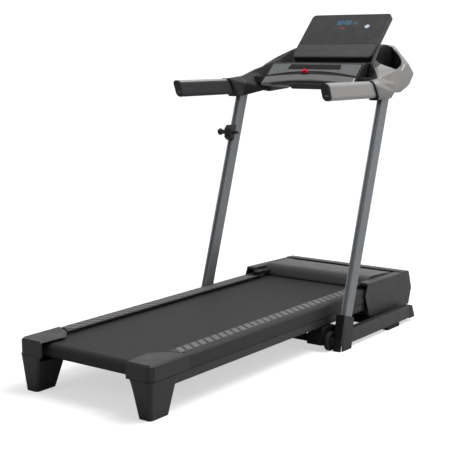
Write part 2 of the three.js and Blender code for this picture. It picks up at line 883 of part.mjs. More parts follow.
function addHandlebars() {
  const tubeFront = uprightRearY(barZ - handle.tube) - gap;
  const tubeOutline = circle(barX0, barZ, handle.tube, 20);
  const tubeBore = circle(barX0, barZ, handle.tube - 2, 16);
  addPair("handle_tube", prismY(tubeOutline, gripRear + 6, tubeFront, [tubeBore]), finishes.steel);

  const w = handle.width / 2;
  const h = handle.height / 2;
  const outline = roundRect([barX0 - w, barX0 + w], [barZ - h, barZ + h], w - 1, 5);
  const bore = circle(barX0, barZ, handle.tube + gap, 20);
  const slant = (y) => [
    [y - 18, barZ + h + 10],
    [y - 100, barZ + h + 10],
    [y - 100, barZ - h - 10],
    [y + 18, barZ - h - 10],
  ];
  const sleeve = prismY(outline, gripRear - 30, gripFront, [bore]);
  const capEnd = gripRear + 10;
  addPair("grip", cut(sleeve, prismX(slant(capEnd), barX0 - 40, barX0 + 40)), finishes.foam);

  const block = prismY(outline, gripRear - 30, gripRear + 45);
  const pocket = prismY(circle(barX0, barZ, handle.tube + gap, 20), gripRear + 5, gripRear + 60);
  const outside = prismX(slant(gripRear), barX0 - 40, barX0 + 40);
  const inside = prismX(
    slant(capEnd - gap).map(([y, z]) => (y < gripRear - 60 ? [y + 260, z] : [y, z])),
    barX0 - 40,
    barX0 + 40,
  );
  addPair("grip_cap", cut(block, outside, inside, pocket), finishes.blackPlastic);
}

// The right wing's corners. Each is how far in from its outer face, how far forward of the
// console point, and how far above it.
const wingCollar = [
  [54, -114, 76],
  [22, -114, 76],
  [11, -101, 59],
  [11, -73, 17],
  [22, -63, 2],
  [54, -63, 2],
  [59, -73, 17],
  [59, -101, 59],
];
const wingShoulder = [
  [42, -27, 86],
  [26, -33, 67],
  [8, -20, 10],
  [2, 42, 31],
  [16, 37, 5],
  [53, -18, 2],
  [71, -27, 55],
  [101, 48, 115],
  [139, 42, 30],
  [5, 57, 60],
];
const wingHead = [
  [101, 48, 115],
  [135, 84, 151],
  [159, 137, 181],
  [166, 197, 218],
  [159, 269, 213],
  [133, 271, 208],
  [103, 257, 189],
  [66, 219, 165],
  [38, 177, 135],
  [19, 193, 90],
  [25, 215, 65],
  [9, 129, 64],
  [3, 47, 35],
  [42, -23, 84],
  [143, 48, 20],
  [143, 197, 30],
  [156, 262, 85],
  [71, 237, 55],
];
// The plan of the cup well's mouth, anticlockwise.
const wellMouth = [
  [124, 99],
  [105, 121],
  [77, 127],
  [54, 141],
  [47, 169],
  [74, 205],
  [107, 239],
  [133, 253],
  [149, 237],
  [153, 193],
];
// What is cut from above the well's near lip: its sloping underside, then its far top.
const lipShave = [
  [99, 49, 116],
  [-19, 49, 116],
  [49, 137, 114],
  [-19, 152, 113],
  [-19, 277, 215],
  [131, 277, 215],
  [121, 99, 155],
  [149, 199, 221],
];

function consolePoints(points) {
  return points.map(([y, z]) => [consoleY + y, consoleZ + z]);
}

function hull(points) {
  return new ConvexGeometry(points.map(([x, y, z]) => new THREE.Vector3(x, y, z)));
}

function wingPoints(points) {
  return points.map(([x, y, z]) => [wingHalf - x, consoleY + y, consoleZ + z]);
}

// The same points drawn in towards their middle, which leaves a wall round a hull.
function drawnIn(points, wall) {
  const box3 = new THREE.Box3().setFromPoints(points.map(([x, y, z]) => new THREE.Vector3(x, y, z)));
  const middle = box3.getCenter(new THREE.Vector3()).toArray();
  const size = box3.getSize(new THREE.Vector3()).toArray();
  return points.map((point) => point.map((v, i) => middle[i] + (v - middle[i]) * (1 - (2 * wall) / size[i])));
}

// A tapered well: a round floor, and the mouth's outline carried up past the wing's top.
function wellHull(spread) {
  const centre = [uprightOuter - cup.setIn, consoleY + cup.forward];
  const floorZ = consoleZ + cup.floor - spread;
  const floor = circle(...centre, cup.radius + spread, 20).map(([x, y]) => [x, y, floorZ]);
  const mouth = wellMouth.map(([x, y]) => [wingHalf - x, consoleY + y]).reverse();
  const top = inset(mouth, -spread).map(([x, y]) => [x, y, consoleZ + 285]);
  return hull([...floor, ...top]);
}

const crossY = [uprightY(consoleZ + 72) - 14, uprightY(consoleZ + 72) + 14];
const crossZ = [consoleZ + 59, consoleZ + 85];
const bracketX = [uprightInner - 18, uprightInner - gap];
const bracketZ = [consoleZ + 15, crossZ[1]];

// What passes through a wing: the grip, its tube, the upright, and the crossbar with its bracket.
function wingRooms() {
  const gripRoom = prismY(
    roundRect(
      [barX0 - handle.width / 2 - gap, barX0 + handle.width / 2 + gap],
      [barZ - handle.height / 2 - gap, barZ + handle.height / 2 + gap],
      handle.width / 2 - 1,
      5,
    ),
    consoleY - 160,
    gripFront + gap,
  );
  const tubeRoom = prismY(circle(barX0, barZ, handle.tube + gap, 20), gripFront - 5, uprightRearY(barZ));
  const uprightLow = consoleZ - 20;
  const uprightRoom = prismX(
    [
      [uprightRearY(uprightLow) - 1, uprightLow],
      [uprightFrontY(uprightLow) + 1, uprightLow],
      [uprightFrontY(uprightTop + 1) + 1, uprightTop + 1],
      [uprightRearY(uprightTop + 1) - 1, uprightTop + 1],
    ],
    uprightInner - 1,
    uprightOuter + 1,
  );
  const roomY = [crossY[0] - 1, crossY[1] + 1];
  const crossRoom = box([wingInner - 20, uprightInner + 1], roomY, [crossZ[0] - 1, crossZ[1] + 1]);
  const bracketRoom = box([bracketX[0] - 1, uprightInner + 1], roomY, [bracketZ[0] - 1, crossZ[1]]);
  return [gripRoom, tubeRoom, uprightRoom, crossRoom, bracketRoom];
}

function addWings() {
  const span = [wingInner, wingHalf + 20];
  const keepOutside = box(span, [consoleY - 200, consoleY + 400], [consoleZ - 50, consoleZ + 400]);
  const head = wingPoints(wingHead);
  const arm = wingPoints([...wingCollar, ...wingShoulder.slice(0, 7)]);
  const whole = join(hull(wingPoints(wingShoulder)), hull(arm), hull(head));
  // The hollow runs out through the wing's inner side, behind the tray.
  const innerPoints = head.filter(([x]) => x < wingInner).map(([x, y, z]) => [x, y, z - 6]);
  const hollow = hull([...drawnIn(head, wing.wall + 1), ...innerPoints]);
  const lip = wingPoints(lipShave);
  const shave = hull([...lip, ...lip.map(([x, y]) => [x, y, consoleZ + 355])]);
  const kept = common(whole, keepOutside);
  const rooms = [hollow, shave, ...wingRooms(), wellHull(cup.wall + gap)];
  addPair("console_wing", cut(kept, ...rooms), finishes.silverPlastic);

  const liner = common(wellHull(cup.wall), common(hull(drawnIn(head, 0.5)), keepOutside));
  addPair("cup_holder", cut(liner, wellHull(0), shave), finishes.blackPlastic);
}

function addConsole() {
  const shellHalf = wingInner - 1;
  const shellSide = consolePoints([
    [-26, 55.4],
    [213, 55.4],
    [233, 105],
    [222, 131],
    [170, 143],
    [118, 139],
    [70, 141],
    [57, 136.6],
  ]);
  const shell = prismX(shellSide, -shellHalf, shellHalf);
  const room = prismX(
    inset(shellSide, wing.wall).map(([y, z]) => (z < consoleZ + 60 ? [y, consoleZ + 40] : [y, z])),
    -shellHalf + wing.wall,
    shellHalf - wing.wall,
  );
  const crossRoom = box([-400, 400], [crossY[0] - 1, crossY[1] + 1], [crossZ[0] - 10, crossZ[1] + 1]);
  // The neck under the display, cut off square to the display's back.
  const tilt = THREE.MathUtils.degToRad(display.tilt);
  const backPoint = (up) => [
    panelY + (display.thickness + 1) * Math.sin(tilt) + up * Math.cos(tilt),
    panelZ - (display.thickness + 1) * Math.cos(tilt) + up * Math.sin(tilt),
  ];
  const neckSide = [backPoint(-14), ...consolePoints([[166, 118], [226, 112], [256, 190]]), backPoint(80)];
  const neckHalf = wingInner - 37.6;
  const neck = prismX(neckSide, -neckHalf, neckHalf);
  // The neck's hollow reaches down into the shell's.
  const neckInside = inset(neckSide, wing.wall).map(([y, z]) => (z < consoleZ + 130 ? [y, z - 8] : [y, z]));
  const neckRoom = prismX(neckInside, -neckHalf + wing.wall, neckHalf - wing.wall);
  add("console_upper", cut(join(cut(shell, room, crossRoom), neck), neckRoom), finishes.blackPlastic);
  const crossOutline = roundRect(crossY, crossZ, 4, 2);
  const crossTube = prismX(crossOutline, -uprightInner + gap, uprightInner - gap, [inset(crossOutline, 2)]);
  const bracket = box(bracketX, crossY, [bracketZ[0], crossZ[0] + 1]);
  const otherBracket = box([-bracketX[1], -bracketX[0]], crossY, [bracketZ[0], crossZ[0] + 1]);
  add("console_crossbar", join(crossTube, bracket, otherBracket), finishes.framePaint);
  const lowerSide = consolePoints([
    [-24, 54.6],
    [-14, 49],
    [37, 40],
    [137, 40],
    [200, 46],
    [211, 54.6],
  ]);
  const lowerRoom = consolePoints([
    [-10, 60],
    [-8, 52.4],
    [38, 43.2],
    [136, 43.2],
    [196, 49],
    [202, 60],
  ]);
  const lower = cut(
    prismX(lowerSide, -shellHalf, shellHalf),
    prismX(lowerRoom, -shellHalf + wing.wall, shellHalf - wing.wall),
  );
  add("console_lower", cut(lower, crossRoom), finishes.blackPlastic);
}

// The tray is a plate on the console's sloping face; y runs up the slope and z is its normal.
function addTray() {
  const face = new THREE.Group();
  face.position.set(0, consoleY - 19.2, consoleZ + 63.1);
  face.rotation.x = THREE.MathUtils.degToRad(tray.tilt);
  fromRear.add(face);
  const outline = [
    [-trayHalf + 3, 0],
    [-130, 4],
    [130, 4],
    [trayHalf - 3, 0],
    [trayHalf, tray.slant],
    [120, tray.slant + 3],
    [-120, tray.slant + 3],
    [-trayHalf, tray.slant],
  ];
  const z = [0, tray.thickness];
  const { matHalf, matY, keyX, keyY } = tray;
  const matRoom = box([-matHalf, matHalf], matY, [1.6, 10]);
  const keyRoom = box([keyX - 17, keyX + 17], [keyY - 9, keyY + 9], [2, 10]);
  add("tray_panel", cut(prismZ(outline, z[0], z[1]), matRoom, keyRoom), finishes.silverPlastic, face);
  const matX = [-matHalf + gap, matHalf - gap];
  const mat = box(matX, [matY[0] + gap, matY[1] - gap], [1.6 + gap, tray.thickness]);
  add("tray_mat", mat, finishes.rubber, face);
  const key = join(
    prismZ(roundRect([keyX - 15, keyX + 15], [keyY - 7.5, keyY + 7.5], 6, 3), 2 + gap, 9),
    prismZ(roundRect([keyX - 10, keyX + 10], [keyY - 5, keyY + 5], 5, 3), 8, 16),
  );
  add("safety_key", key, finishes.keyRed, face);
}

// The display panel: y runs up the panel, and z is its normal, towards the user.
function addDisplay() {
  const panel = new THREE.Group();
  panel.position.set(0, panelY, panelZ);
  panel.rotation.x = THREE.MathUtils.degToRad(display.tilt);
  fromRear.add(panel);
  const { slant, thickness, wall, lensStart, corner } = display;
  const outline = roundRect([-displayHalf, displayHalf], [0, slant], corner, 3);
  const lensOutline = roundRect([-displayHalf + 3, displayHalf - 3], [lensStart, slant - 3], corner - 3, 3);
  const lensRoom = prismZ(lensOutline, -2.6, 5);
  const inside = roundRect([-displayHalf + wall, displayHalf - wall], [wall, slant - wall], corner - wall, 3);
  const cavity = prismZ(inside, -thickness + wall, -2.6 - wall);
  const cable = box([-50, 50], [20, 60], [-thickness - 1, -thickness + wall + 1]);
  const buttonX = displayHalf - 89;
  const buttonY = 179;
  const buttonHole = prismZ(circle(buttonX, buttonY, 13, 20), -2.6 - wall - 1, 5);
  const housing = cut(prismZ(outline, -thickness, 0), lensRoom, cavity, cable, buttonHole);
  add("display_housing", housing, finishes.blackPlastic, panel);
  const lens = prismZ(inset(lensOutline, gap), -2.6 + gap, -0.2);
  const lensHole = prismZ(circle(buttonX, buttonY, 10.5, 20), -5, 5);
  add("display_lens", cut(lens, lensHole), finishes.glass, panel);
  const cap = prismZ(circle(buttonX, buttonY, 10, 20), -5, 1.2);
  const flange = prismZ(circle(buttonX, buttonY, 12, 20), -5, -3.2);
  add("start_button", join(cap, flange), finishes.silverPlastic, panel);
}

// The pull pin on the left upright that holds the deck when it is folded up.
function addLatch() {
  const y = latchY;
  const z = latchZ;
  const inner = -uprightInner + 8;
  const outer = -uprightOuter - 2;
  const body = [
    [y - 16, z - 22],
    [y, z - 34],
    [y + 60, z - 34],
    [y + 60, z + 30],
    [y, z + 30],
    [y - 16, z + 16],
  ];
  const rest = 60;
  const uprightRoom = prismX(
    [
      [uprightRearY(z - rest) - gap, z - rest],
      [uprightRearY(z - rest) + 160, z - rest],
      [uprightRearY(z + rest) + 160, z + rest],
      [uprightRearY(z + rest) - gap, z + rest],
    ],
    outer - 10,
    inner + 10,
  );
  const bore = barX(latch.pin + runningGap, outer - 10, inner + 10, y, z, 24);
  const shoulder = outer + latch.travel + 3;
  const stemRoom = barX(latch.stem + gap, outer - 10, shoulder, y, z, 24);
  add("latch_housing", cut(prismX(body, outer, inner), uprightRoom, bore, stemRoom), finishes.blackPlastic);

  const tip = -half - 1.5;
  const end = -knobReach;
  const profile = [
    [end, 0],
    [end, latch.knob - 5],
    [end + 5, latch.knob],
    [end + 14, latch.knob],
    [end + 19, latch.stem],
    [outer + 1, latch.stem],
    [outer + 1, latch.pin],
    [tip - 3, latch.pin],
    [tip, latch.pin - 2],
    [tip, 0],
  ];
  add("latch_pin", turnedX(profile, y, z, 24), finishes.steel);
}

addBase();
addPivotFrame();
addUprights();
addFrame();
addFootRails();
addRearCaps();
addBelt();
addDrive();
addHood();
addHandlebars();
addWings();
addConsole();
addTray();
addDisplay();
addLatch();

export default treadmill;
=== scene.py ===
# A folding home treadmill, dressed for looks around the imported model.
import bmesh
import bpy
import json
import math
from mathutils import Matrix, Vector


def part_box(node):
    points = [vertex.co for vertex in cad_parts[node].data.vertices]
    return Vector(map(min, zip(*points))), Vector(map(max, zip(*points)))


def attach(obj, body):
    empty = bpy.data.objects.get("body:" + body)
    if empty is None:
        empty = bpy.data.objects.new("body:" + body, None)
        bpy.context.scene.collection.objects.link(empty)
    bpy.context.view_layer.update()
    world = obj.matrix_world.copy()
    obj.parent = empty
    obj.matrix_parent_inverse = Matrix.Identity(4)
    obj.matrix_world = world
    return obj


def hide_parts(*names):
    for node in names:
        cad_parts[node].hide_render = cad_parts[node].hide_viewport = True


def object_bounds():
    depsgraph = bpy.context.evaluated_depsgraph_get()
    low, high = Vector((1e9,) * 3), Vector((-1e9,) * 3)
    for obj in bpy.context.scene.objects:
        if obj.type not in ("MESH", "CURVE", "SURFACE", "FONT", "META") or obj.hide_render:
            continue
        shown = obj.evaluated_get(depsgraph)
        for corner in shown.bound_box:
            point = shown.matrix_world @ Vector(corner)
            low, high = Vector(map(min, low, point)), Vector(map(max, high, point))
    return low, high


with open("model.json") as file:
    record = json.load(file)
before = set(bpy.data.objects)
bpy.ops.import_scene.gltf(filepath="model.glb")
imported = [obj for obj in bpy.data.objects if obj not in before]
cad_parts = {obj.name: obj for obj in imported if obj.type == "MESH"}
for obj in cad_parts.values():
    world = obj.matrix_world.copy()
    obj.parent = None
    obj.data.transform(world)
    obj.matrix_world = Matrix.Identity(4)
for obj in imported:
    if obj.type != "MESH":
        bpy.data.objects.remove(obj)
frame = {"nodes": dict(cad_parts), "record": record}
cadLow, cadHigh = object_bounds()
print("frame loaded,", len(frame["nodes"]), "nodes")

mm = 0.001
beltLow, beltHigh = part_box("walking_belt")
midX = (beltLow.x + beltHigh.x) / 2  # the middle of the deck
rearY = cadLow.y  # the rear face of the end caps
deckHalf = (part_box("foot_rail_right")[1].x - midX) / mm
sides = (("right", 1), ("left", -1))
bodyOf = {}
for bodyName, members in frame["record"]["behaviour"]["bodies"].items():
    for member in members:
        bodyOf[member] = bodyName


def at(x, y, z):  # millimetres from the deck's middle, its rear face and the floor
    return Vector((midX + x * mm, rearY + y * mm, z * mm))


broadGrain = 55  # size in mm of the slow change over a moulding
metalShine, plasticShine = 0.5, 0.24
finishes = {
    # colour, roughness, metal, grain size in mm, grain depth in mm, light and dark share
    "blackPlastic": ((0.02, 0.02, 0.021), 0.5, 0.0, 0.7, 0.05, 0.16),
    # darkest black: the real colour of a few parts, and painted shade on groove, gap, hood-hollow and
    # cup-well faces
    "deepPlastic": ((0.009, 0.009, 0.0095), 0.5, 0.0, 0.7, 0.05, 0.16),
    "capPlastic": ((0.026, 0.026, 0.0265), 0.45, 0.0, 0.8, 0.05, 0.12),
    "railPlastic": ((0.016, 0.016, 0.0165), 0.45, 0.0, 0.9, 0.05, 0.12),
    "ribPlastic": ((0.105, 0.103, 0.102), 0.5, 0.0, 0.9, 0.05, 0.12),
    "hoodPlastic": ((0.03, 0.03, 0.0305), 0.45, 0.0, 0.9, 0.05, 0.12),
    "bootPlastic": ((0.012, 0.0118, 0.013), 0.32, 0.0, 0.9, 0.03, 0.12),
    "wingPlastic": ((0.15, 0.146, 0.142), 0.34, 0.25, 0.6, 0.02, 0.07),
    "displayPlastic": ((0.03, 0.03, 0.0305), 0.42, 0.0, 0.6, 0.02, 0.1),
    "panelPlastic": ((0.125, 0.128, 0.13), 0.38, 0.1, 0.6, 0.03, 0.08),
    # dark frame paint; also painted shade in the uprights' grooves
    "framePaint": ((0.014, 0.0142, 0.0155), 0.42, 0.2, 1.4, 0.04, 0.14),
    "uprightPaint": ((0.17, 0.18, 0.19), 0.33, 0.55, 0.8, 0.015, 0.06),
    "rubber": ((0.012, 0.012, 0.0125), 0.75, 0.0, 1.1, 0.08, 0.2),
    "foam": ((0.022, 0.022, 0.025), 0.6, 0.0, 0.9, 0.12, 0.25),
    "steel": ((0.45, 0.45, 0.46), 0.3, 0.95, 1.2, 0.01, 0.08),
    "castIron": ((0.12, 0.12, 0.125), 0.45, 0.8, 1.5, 0.1, 0.2),
    "redPlastic": ((0.5, 0.02, 0.035), 0.32, 0.0, 0.8, 0.02, 0.1),
    "silverPlastic": ((0.5, 0.52, 0.55), 0.3, 0.2, 0.8, 0.01, 0.05),
    "gripShell": ((0.24, 0.235, 0.23), 0.36, 0.35, 0.7, 0.03, 0.08),
    "barPlastic": ((0.15, 0.152, 0.153), 0.32, 0.25, 0.7, 0.02, 0.07),
    "crownPlastic": ((0.05, 0.05, 0.051), 0.42, 0.0, 0.7, 0.03, 0.1),
    "bandPlastic": ((0.055, 0.056, 0.057), 0.4, 0.0, 0.7, 0.03, 0.1),
}


def shaderNodes(name):
    material = bpy.data.materials.new(name)
    material.use_nodes = True
    tree = material.node_tree
    return material, tree.nodes, tree.links, tree.nodes["Principled BSDF"]


def between(nodes, links, value, low, high):  # a pattern's value, spread from low to high
    spread = nodes.new("ShaderNodeMapRange")
    spread.inputs["From Min"].default_value = 0.3
    spread.inputs["From Max"].default_value = 0.7
    spread.inputs["To Min"].default_value = low
    spread.inputs["To Max"].default_value = high
    links.new(value, spread.inputs["Value"])
    return spread.outputs["Result"]


def twoTones(nodes, links, value, colour, share):  # the colour, a little darker and lighter
    tones = nodes.new("ShaderNodeValToRGB")
    for element, factor in zip(tones.color_ramp.elements, (1 - share, 1 + share)):
        element.color = (*(channel * factor for channel in colour), 1)
    tones.color_ramp.elements[0].position = 0.32
    tones.color_ramp.elements[1].position = 0.68
    links.new(value, tones.inputs["Fac"])
    return tones.outputs["Color"]


def noise(nodes, links, coords, sizeMm, detail=2.0):
    pattern = nodes.new("ShaderNodeTexNoise")
    pattern.inputs["Scale"].default_value = 1 / (sizeMm * mm)
    pattern.inputs["Detail"].default_value = detail
    links.new(coords, pattern.inputs["Vector"])
    return pattern.outputs["Fac"]


def addBump(nodes, links, shader, height, depthMm, strength=1.0):
    bump = nodes.new("ShaderNodeBump")
    bump.inputs["Distance"].default_value = depthMm * mm
    bump.inputs["Strength"].default_value = strength
    links.new(height, bump.inputs["Height"])
    links.new(bump.outputs["Normal"], shader.inputs["Normal"])


def moulded(name):
    colour, rough, metal, grain, depth, share = finishes[name]
    material, nodes, links, shader = shaderNodes(name)
    coords = nodes.new("ShaderNodeTexCoord").outputs["Object"]
    fine = noise(nodes, links, coords, grain)
    broad = noise(nodes, links, coords, broadGrain, 4.0)
    mixed = nodes.new("ShaderNodeMath")
    mixed.operation = "ADD"
    half = nodes.new("ShaderNodeMath")
    half.operation = "MULTIPLY"
    half.inputs[1].default_value = 0.5
    links.new(fine, mixed.inputs[0])
    links.new(broad, mixed.inputs[1])
    links.new(mixed.outputs[0], half.inputs[0])
    links.new(twoTones(nodes, links, half.outputs[0], colour, share), shader.inputs["Base Color"])
    links.new(between(nodes, links, broad, rough - 0.06, rough + 0.06), shader.inputs["Roughness"])
    shader.inputs["Metallic"].default_value = metal
    shader.inputs["Specular IOR Level"].default_value = metalShine if metal > 0.1 else plasticShine
    addBump(nodes, links, shader, fine, depth, 0.6)
    return material


look = {name: moulded(name) for name in finishes}


beltFinish = {
    "colour": (0.024, 0.0234, 0.0237),
    "share": 0.1,
    "roughness": (0.6, 0.72),
    "shine": 0.16,
    "pebbles": 520,  # in a metre
    "pebbleDepth": 0.25,
    "streakSize": 6,
    "streakStretch": 0.06,
}


def beltFace():
    finish = beltFinish
    material, nodes, links, shader = shaderNodes("beltFace")
    coords = nodes.new("ShaderNodeTexCoord").outputs["Object"]
    stretch = nodes.new("ShaderNodeMapping")
    stretch.inputs["Scale"].default_value = (1.0, finish["streakStretch"], 1.0)
    links.new(coords, stretch.inputs["Vector"])
    pebbles = nodes.new("ShaderNodeTexVoronoi")
    pebbles.inputs["Scale"].default_value = finish["pebbles"]
    links.new(coords, pebbles.inputs["Vector"])
    streaks = noise(nodes, links, stretch.outputs["Vector"], finish["streakSize"], 3.0)
    tones = twoTones(nodes, links, streaks, finish["colour"], finish["share"])
    links.new(tones, shader.inputs["Base Color"])
    links.new(between(nodes, links, streaks, *finish["roughness"]), shader.inputs["Roughness"])
    shader.inputs["Specular IOR Level"].default_value = finish["shine"]
    addBump(nodes, links, shader, pebbles.outputs["Distance"], finish["pebbleDepth"], 0.5)
    return material


def fibreboard():
    material, nodes, links, shader = shaderNodes("fibreboard")
    coords = nodes.new("ShaderNodeTexCoord").outputs["Object"]
    fibres = noise(nodes, links, coords, 2.5, 6.0)
    links.new(twoTones(nodes, links, fibres, (0.2, 0.14, 0.085), 0.3), shader.inputs["Base Color"])
    links.new(between(nodes, links, fibres, 0.7, 0.85), shader.inputs["Roughness"])
    addBump(nodes, links, shader, fibres, 0.2)
    return material


def glossWindow():
    material, nodes, links, shader = shaderNodes("glossWindow")
    coords = nodes.new("ShaderNodeTexCoord").outputs["Object"]
    haze = noise(nodes, links, coords, 40, 3.0)
    links.new(twoTones(nodes, links, haze, (0.028, 0.028, 0.029), 0.15), shader.inputs["Base Color"])
    links.new(between(nodes, links, haze, 0.2, 0.28), shader.inputs["Roughness"])
    return material


def lamp(name, colour, strength):
    material, nodes, links, shader = shaderNodes(name)
    coords = nodes.new("ShaderNodeTexCoord").outputs["Object"]
    glow = noise(nodes, links, coords, 4, 1.0)
    links.new(twoTones(nodes, links, glow, colour, 0.15), shader.inputs["Emission Color"])
    shader.inputs["Emission Strength"].default_value = strength
    shader.inputs["Base Color"].default_value = (0.02, 0.02, 0.02, 1)
    shader.inputs["Roughness"].default_value = 0.35
    return material


look["beltFace"] = beltFace()
look["fibreboard"] = fibreboard()
look["glossWindow"] = glossWindow()
look["blueLamp"] = lamp("blueLamp", (0.04, 0.24, 0.42), 0.9)
look["redLamp"] = lamp("redLamp", (0.5, 0.06, 0.04), 0.7)
look["touchMark"] = lamp("touchMark", (0.09, 0.09, 0.1), 0.35)
look["blueRing"] = lamp("blueRing", (0.05, 0.12, 0.3), 0.6)
print("materials made:", len(look))


def copyOf(node):  # a merged copy of a node's mesh
    bm = bmesh.new()
    bm.from_mesh(frame["nodes"][node].data)
    bmesh.ops.remove_doubles(bm, verts=bm.verts, dist=2e-5)
    bmesh.ops.dissolve_limit(bm, angle_limit=math.radians(1.5), verts=bm.verts, edges=bm.edges)
    return bm


def roundEdges(bm, width, segments=2, angle=28, wanted=None):  # width in millimetres
    limit = math.radians(angle)
    edges = []
    for edge in bm.edges:
        if len(edge.link_faces) == 2 and edge.calc_face_angle() > limit:
            if wanted is None or wanted(edge):
                edges.append(edge)
    if edges:
        bmesh.ops.bevel(
            bm, geom=edges, offset=width * mm, offset_type="OFFSET", segments=segments,
            profile=0.5, affect="EDGES", material=-1, clamp_overlap=True,
        )


def makePiece(name, bm, body, material, replaces=(), smooth=34):
    mesh = bpy.data.meshes.new(name)
    bm.to_mesh(mesh)
    bm.free()
    piece = bpy.data.objects.new(name, mesh)
    bpy.context.scene.collection.objects.link(piece)
    materials = material if isinstance(material, (list, tuple)) else [material]
    for item in materials:
        mesh.materials.append(look[item])
    for face in mesh.polygons:
        face.use_smooth = True
    mesh.set_sharp_from_angle(angle=math.radians(smooth))
    flatten = piece.modifiers.new("evenNormals", "WEIGHTED_NORMAL")
    flatten.keep_sharp = True
    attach(piece, body)
    if replaces:
        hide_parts(*replaces)


def refine(node, material, width, segments=2, angle=28, paint=None):  # a rounded copy takes its place
    bm = copyOf(node)
    roundEdges(bm, width, segments, angle)
    if paint:
        bm.normal_update()
        for face in bm.faces:
            face.material_index = paint(face)
    makePiece(node + "_shaped", bm, bodyOf[node], material, [node])


def prism(bm, outline, lift):  # a closed outline of points, raised along a vector
    face = bm.faces.new([bm.verts.new(point) for point in outline])
    raised = bmesh.ops.extrude_face_region(bm, geom=[face])
    tops = [item for item in raised["geom"] if isinstance(item, bmesh.types.BMVert)]
    bmesh.ops.translate(bm, verts=tops, vec=lift)


def outward(bm):
    bmesh.ops.remove_doubles(bm, verts=bm.verts, dist=1e-6)
    bmesh.ops.recalc_face_normals(bm, faces=bm.faces)


def turned(bm, profile, centre, axis, steps=32):  # (along, radius) pairs in mm round an axis
    along = Vector(axis).normalized()
    side = along.orthogonal().normalized()
    points = [bm.verts.new(centre + along * (a * mm) + side * (r * mm)) for a, r in profile]
    edges = [bm.edges.new((p, q)) for p, q in zip(points, points[1:])]
    bmesh.ops.spin(
        bm, geom=points + edges, cent=centre, axis=along, angle=math.tau, steps=steps,
        use_merge=True, use_duplicate=False,
    )


railShape = {
    "ribPitch": 38.0,
    "ribLength": 27.0,  # along the deck
    "ribHeight": 1.6,
    "ribInner": 68.0,  # from the deck's side in to the rib's inner end
    "ribOuter": 24.0,
    "ribSlant": 27.0,  # how much further back the outer end lies
    "ribSunk": 0.4,  # how far a rib starts inside the rail
    "ribEdge": 0.7,
    "firstRib": 205.0,
    "lastRib": 1318.0,
    "edge": 1.6,
}


def makeFootRails():
    shape = railShape
    length, slant = shape["ribLength"], shape["ribSlant"]
    inner, outer = deckHalf - shape["ribInner"], deckHalf - shape["ribOuter"]
    lift = Vector((0, 0, shape["ribHeight"] * mm))
    for side, sign in sides:
        node = "foot_rail_" + side
        refine(node, "railPlastic", shape["edge"], 3, 20)
        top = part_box(node)[1].z / mm

        def upper(edge):
            return min(v.co.z for v in edge.verts) > top * mm + 0.0005

        bm = bmesh.new()
        y = shape["firstRib"]
        while y + length < shape["lastRib"]:
            rib = [(inner, y), (inner, y + length), (outer, y + length - slant), (outer, y - slant)]
            prism(bm, [at(sign * a, b, top - shape["ribSunk"]) for a, b in rib], lift)
            y += shape["ribPitch"]
        outward(bm)
        roundEdges(bm, shape["ribEdge"], 2, 30, upper)
        makePiece("foot_rail_ribs_" + side, bm, "deck", "ribPlastic", ())


def keep(node, material):  # a node whose own shape stays
    mesh = frame["nodes"][node].data
    mesh.materials.clear()
    mesh.materials.append(look[material])


capShape = {
    "edge": 3.2,
    "seam": (126.5, 129.3, 1.2),  # the groove's lower and upper level, and its depth
    "legTop": 127.2,
    "legInset": 1.6,  # how far the leg stands inside the cap above it
    "legMiddle": (249.5, 62),  # out from the deck's middle, and from the rear face
}


def seamGroove(bm, low, high, depth):  # a groove round a piece between two levels, in mm; its faces are painted darkest, as shade
    for z in (low, high):
        geometry = bm.verts[:] + bm.edges[:] + bm.faces[:]
        bmesh.ops.bisect_plane(bm, geom=geometry, plane_co=(0, 0, z * mm), plane_no=(0, 0, 1))
    ring = []
    for face in bm.faces:
        if low < face.calc_center_median().z / mm < high and abs(face.normal.z) < 0.5:
            ring.append(face)
    bmesh.ops.inset_region(bm, faces=ring, thickness=0.3 * mm, depth=-depth * mm, use_even_offset=False)
    # painted shade: the groove's faces take the darkest black, the piece's second material
    for face in ring:
        face.material_index = 1


def makeRearCaps():
    shape = capShape
    legX, legY = shape["legMiddle"]
    inset = shape["legInset"] * mm
    for side, sign in sides:
        node = "rear_cap_" + side
        bm = copyOf(node)
        roundEdges(bm, shape["edge"], 4, 25)
        seamGroove(bm, *shape["seam"])
        for vert in bm.verts:
            if vert.co.z / mm < shape["legTop"]:
                outside = (vert.co.x - midX) * sign / mm > legX
                ahead = (vert.co.y - rearY) / mm > legY
                vert.co.x += inset * (-1 if outside else 1) * sign
                vert.co.y += inset * (-1 if ahead else 1)
        makePiece(node + "_shaped", bm, "deck", ["capPlastic", "deepPlastic"], [node], 25)
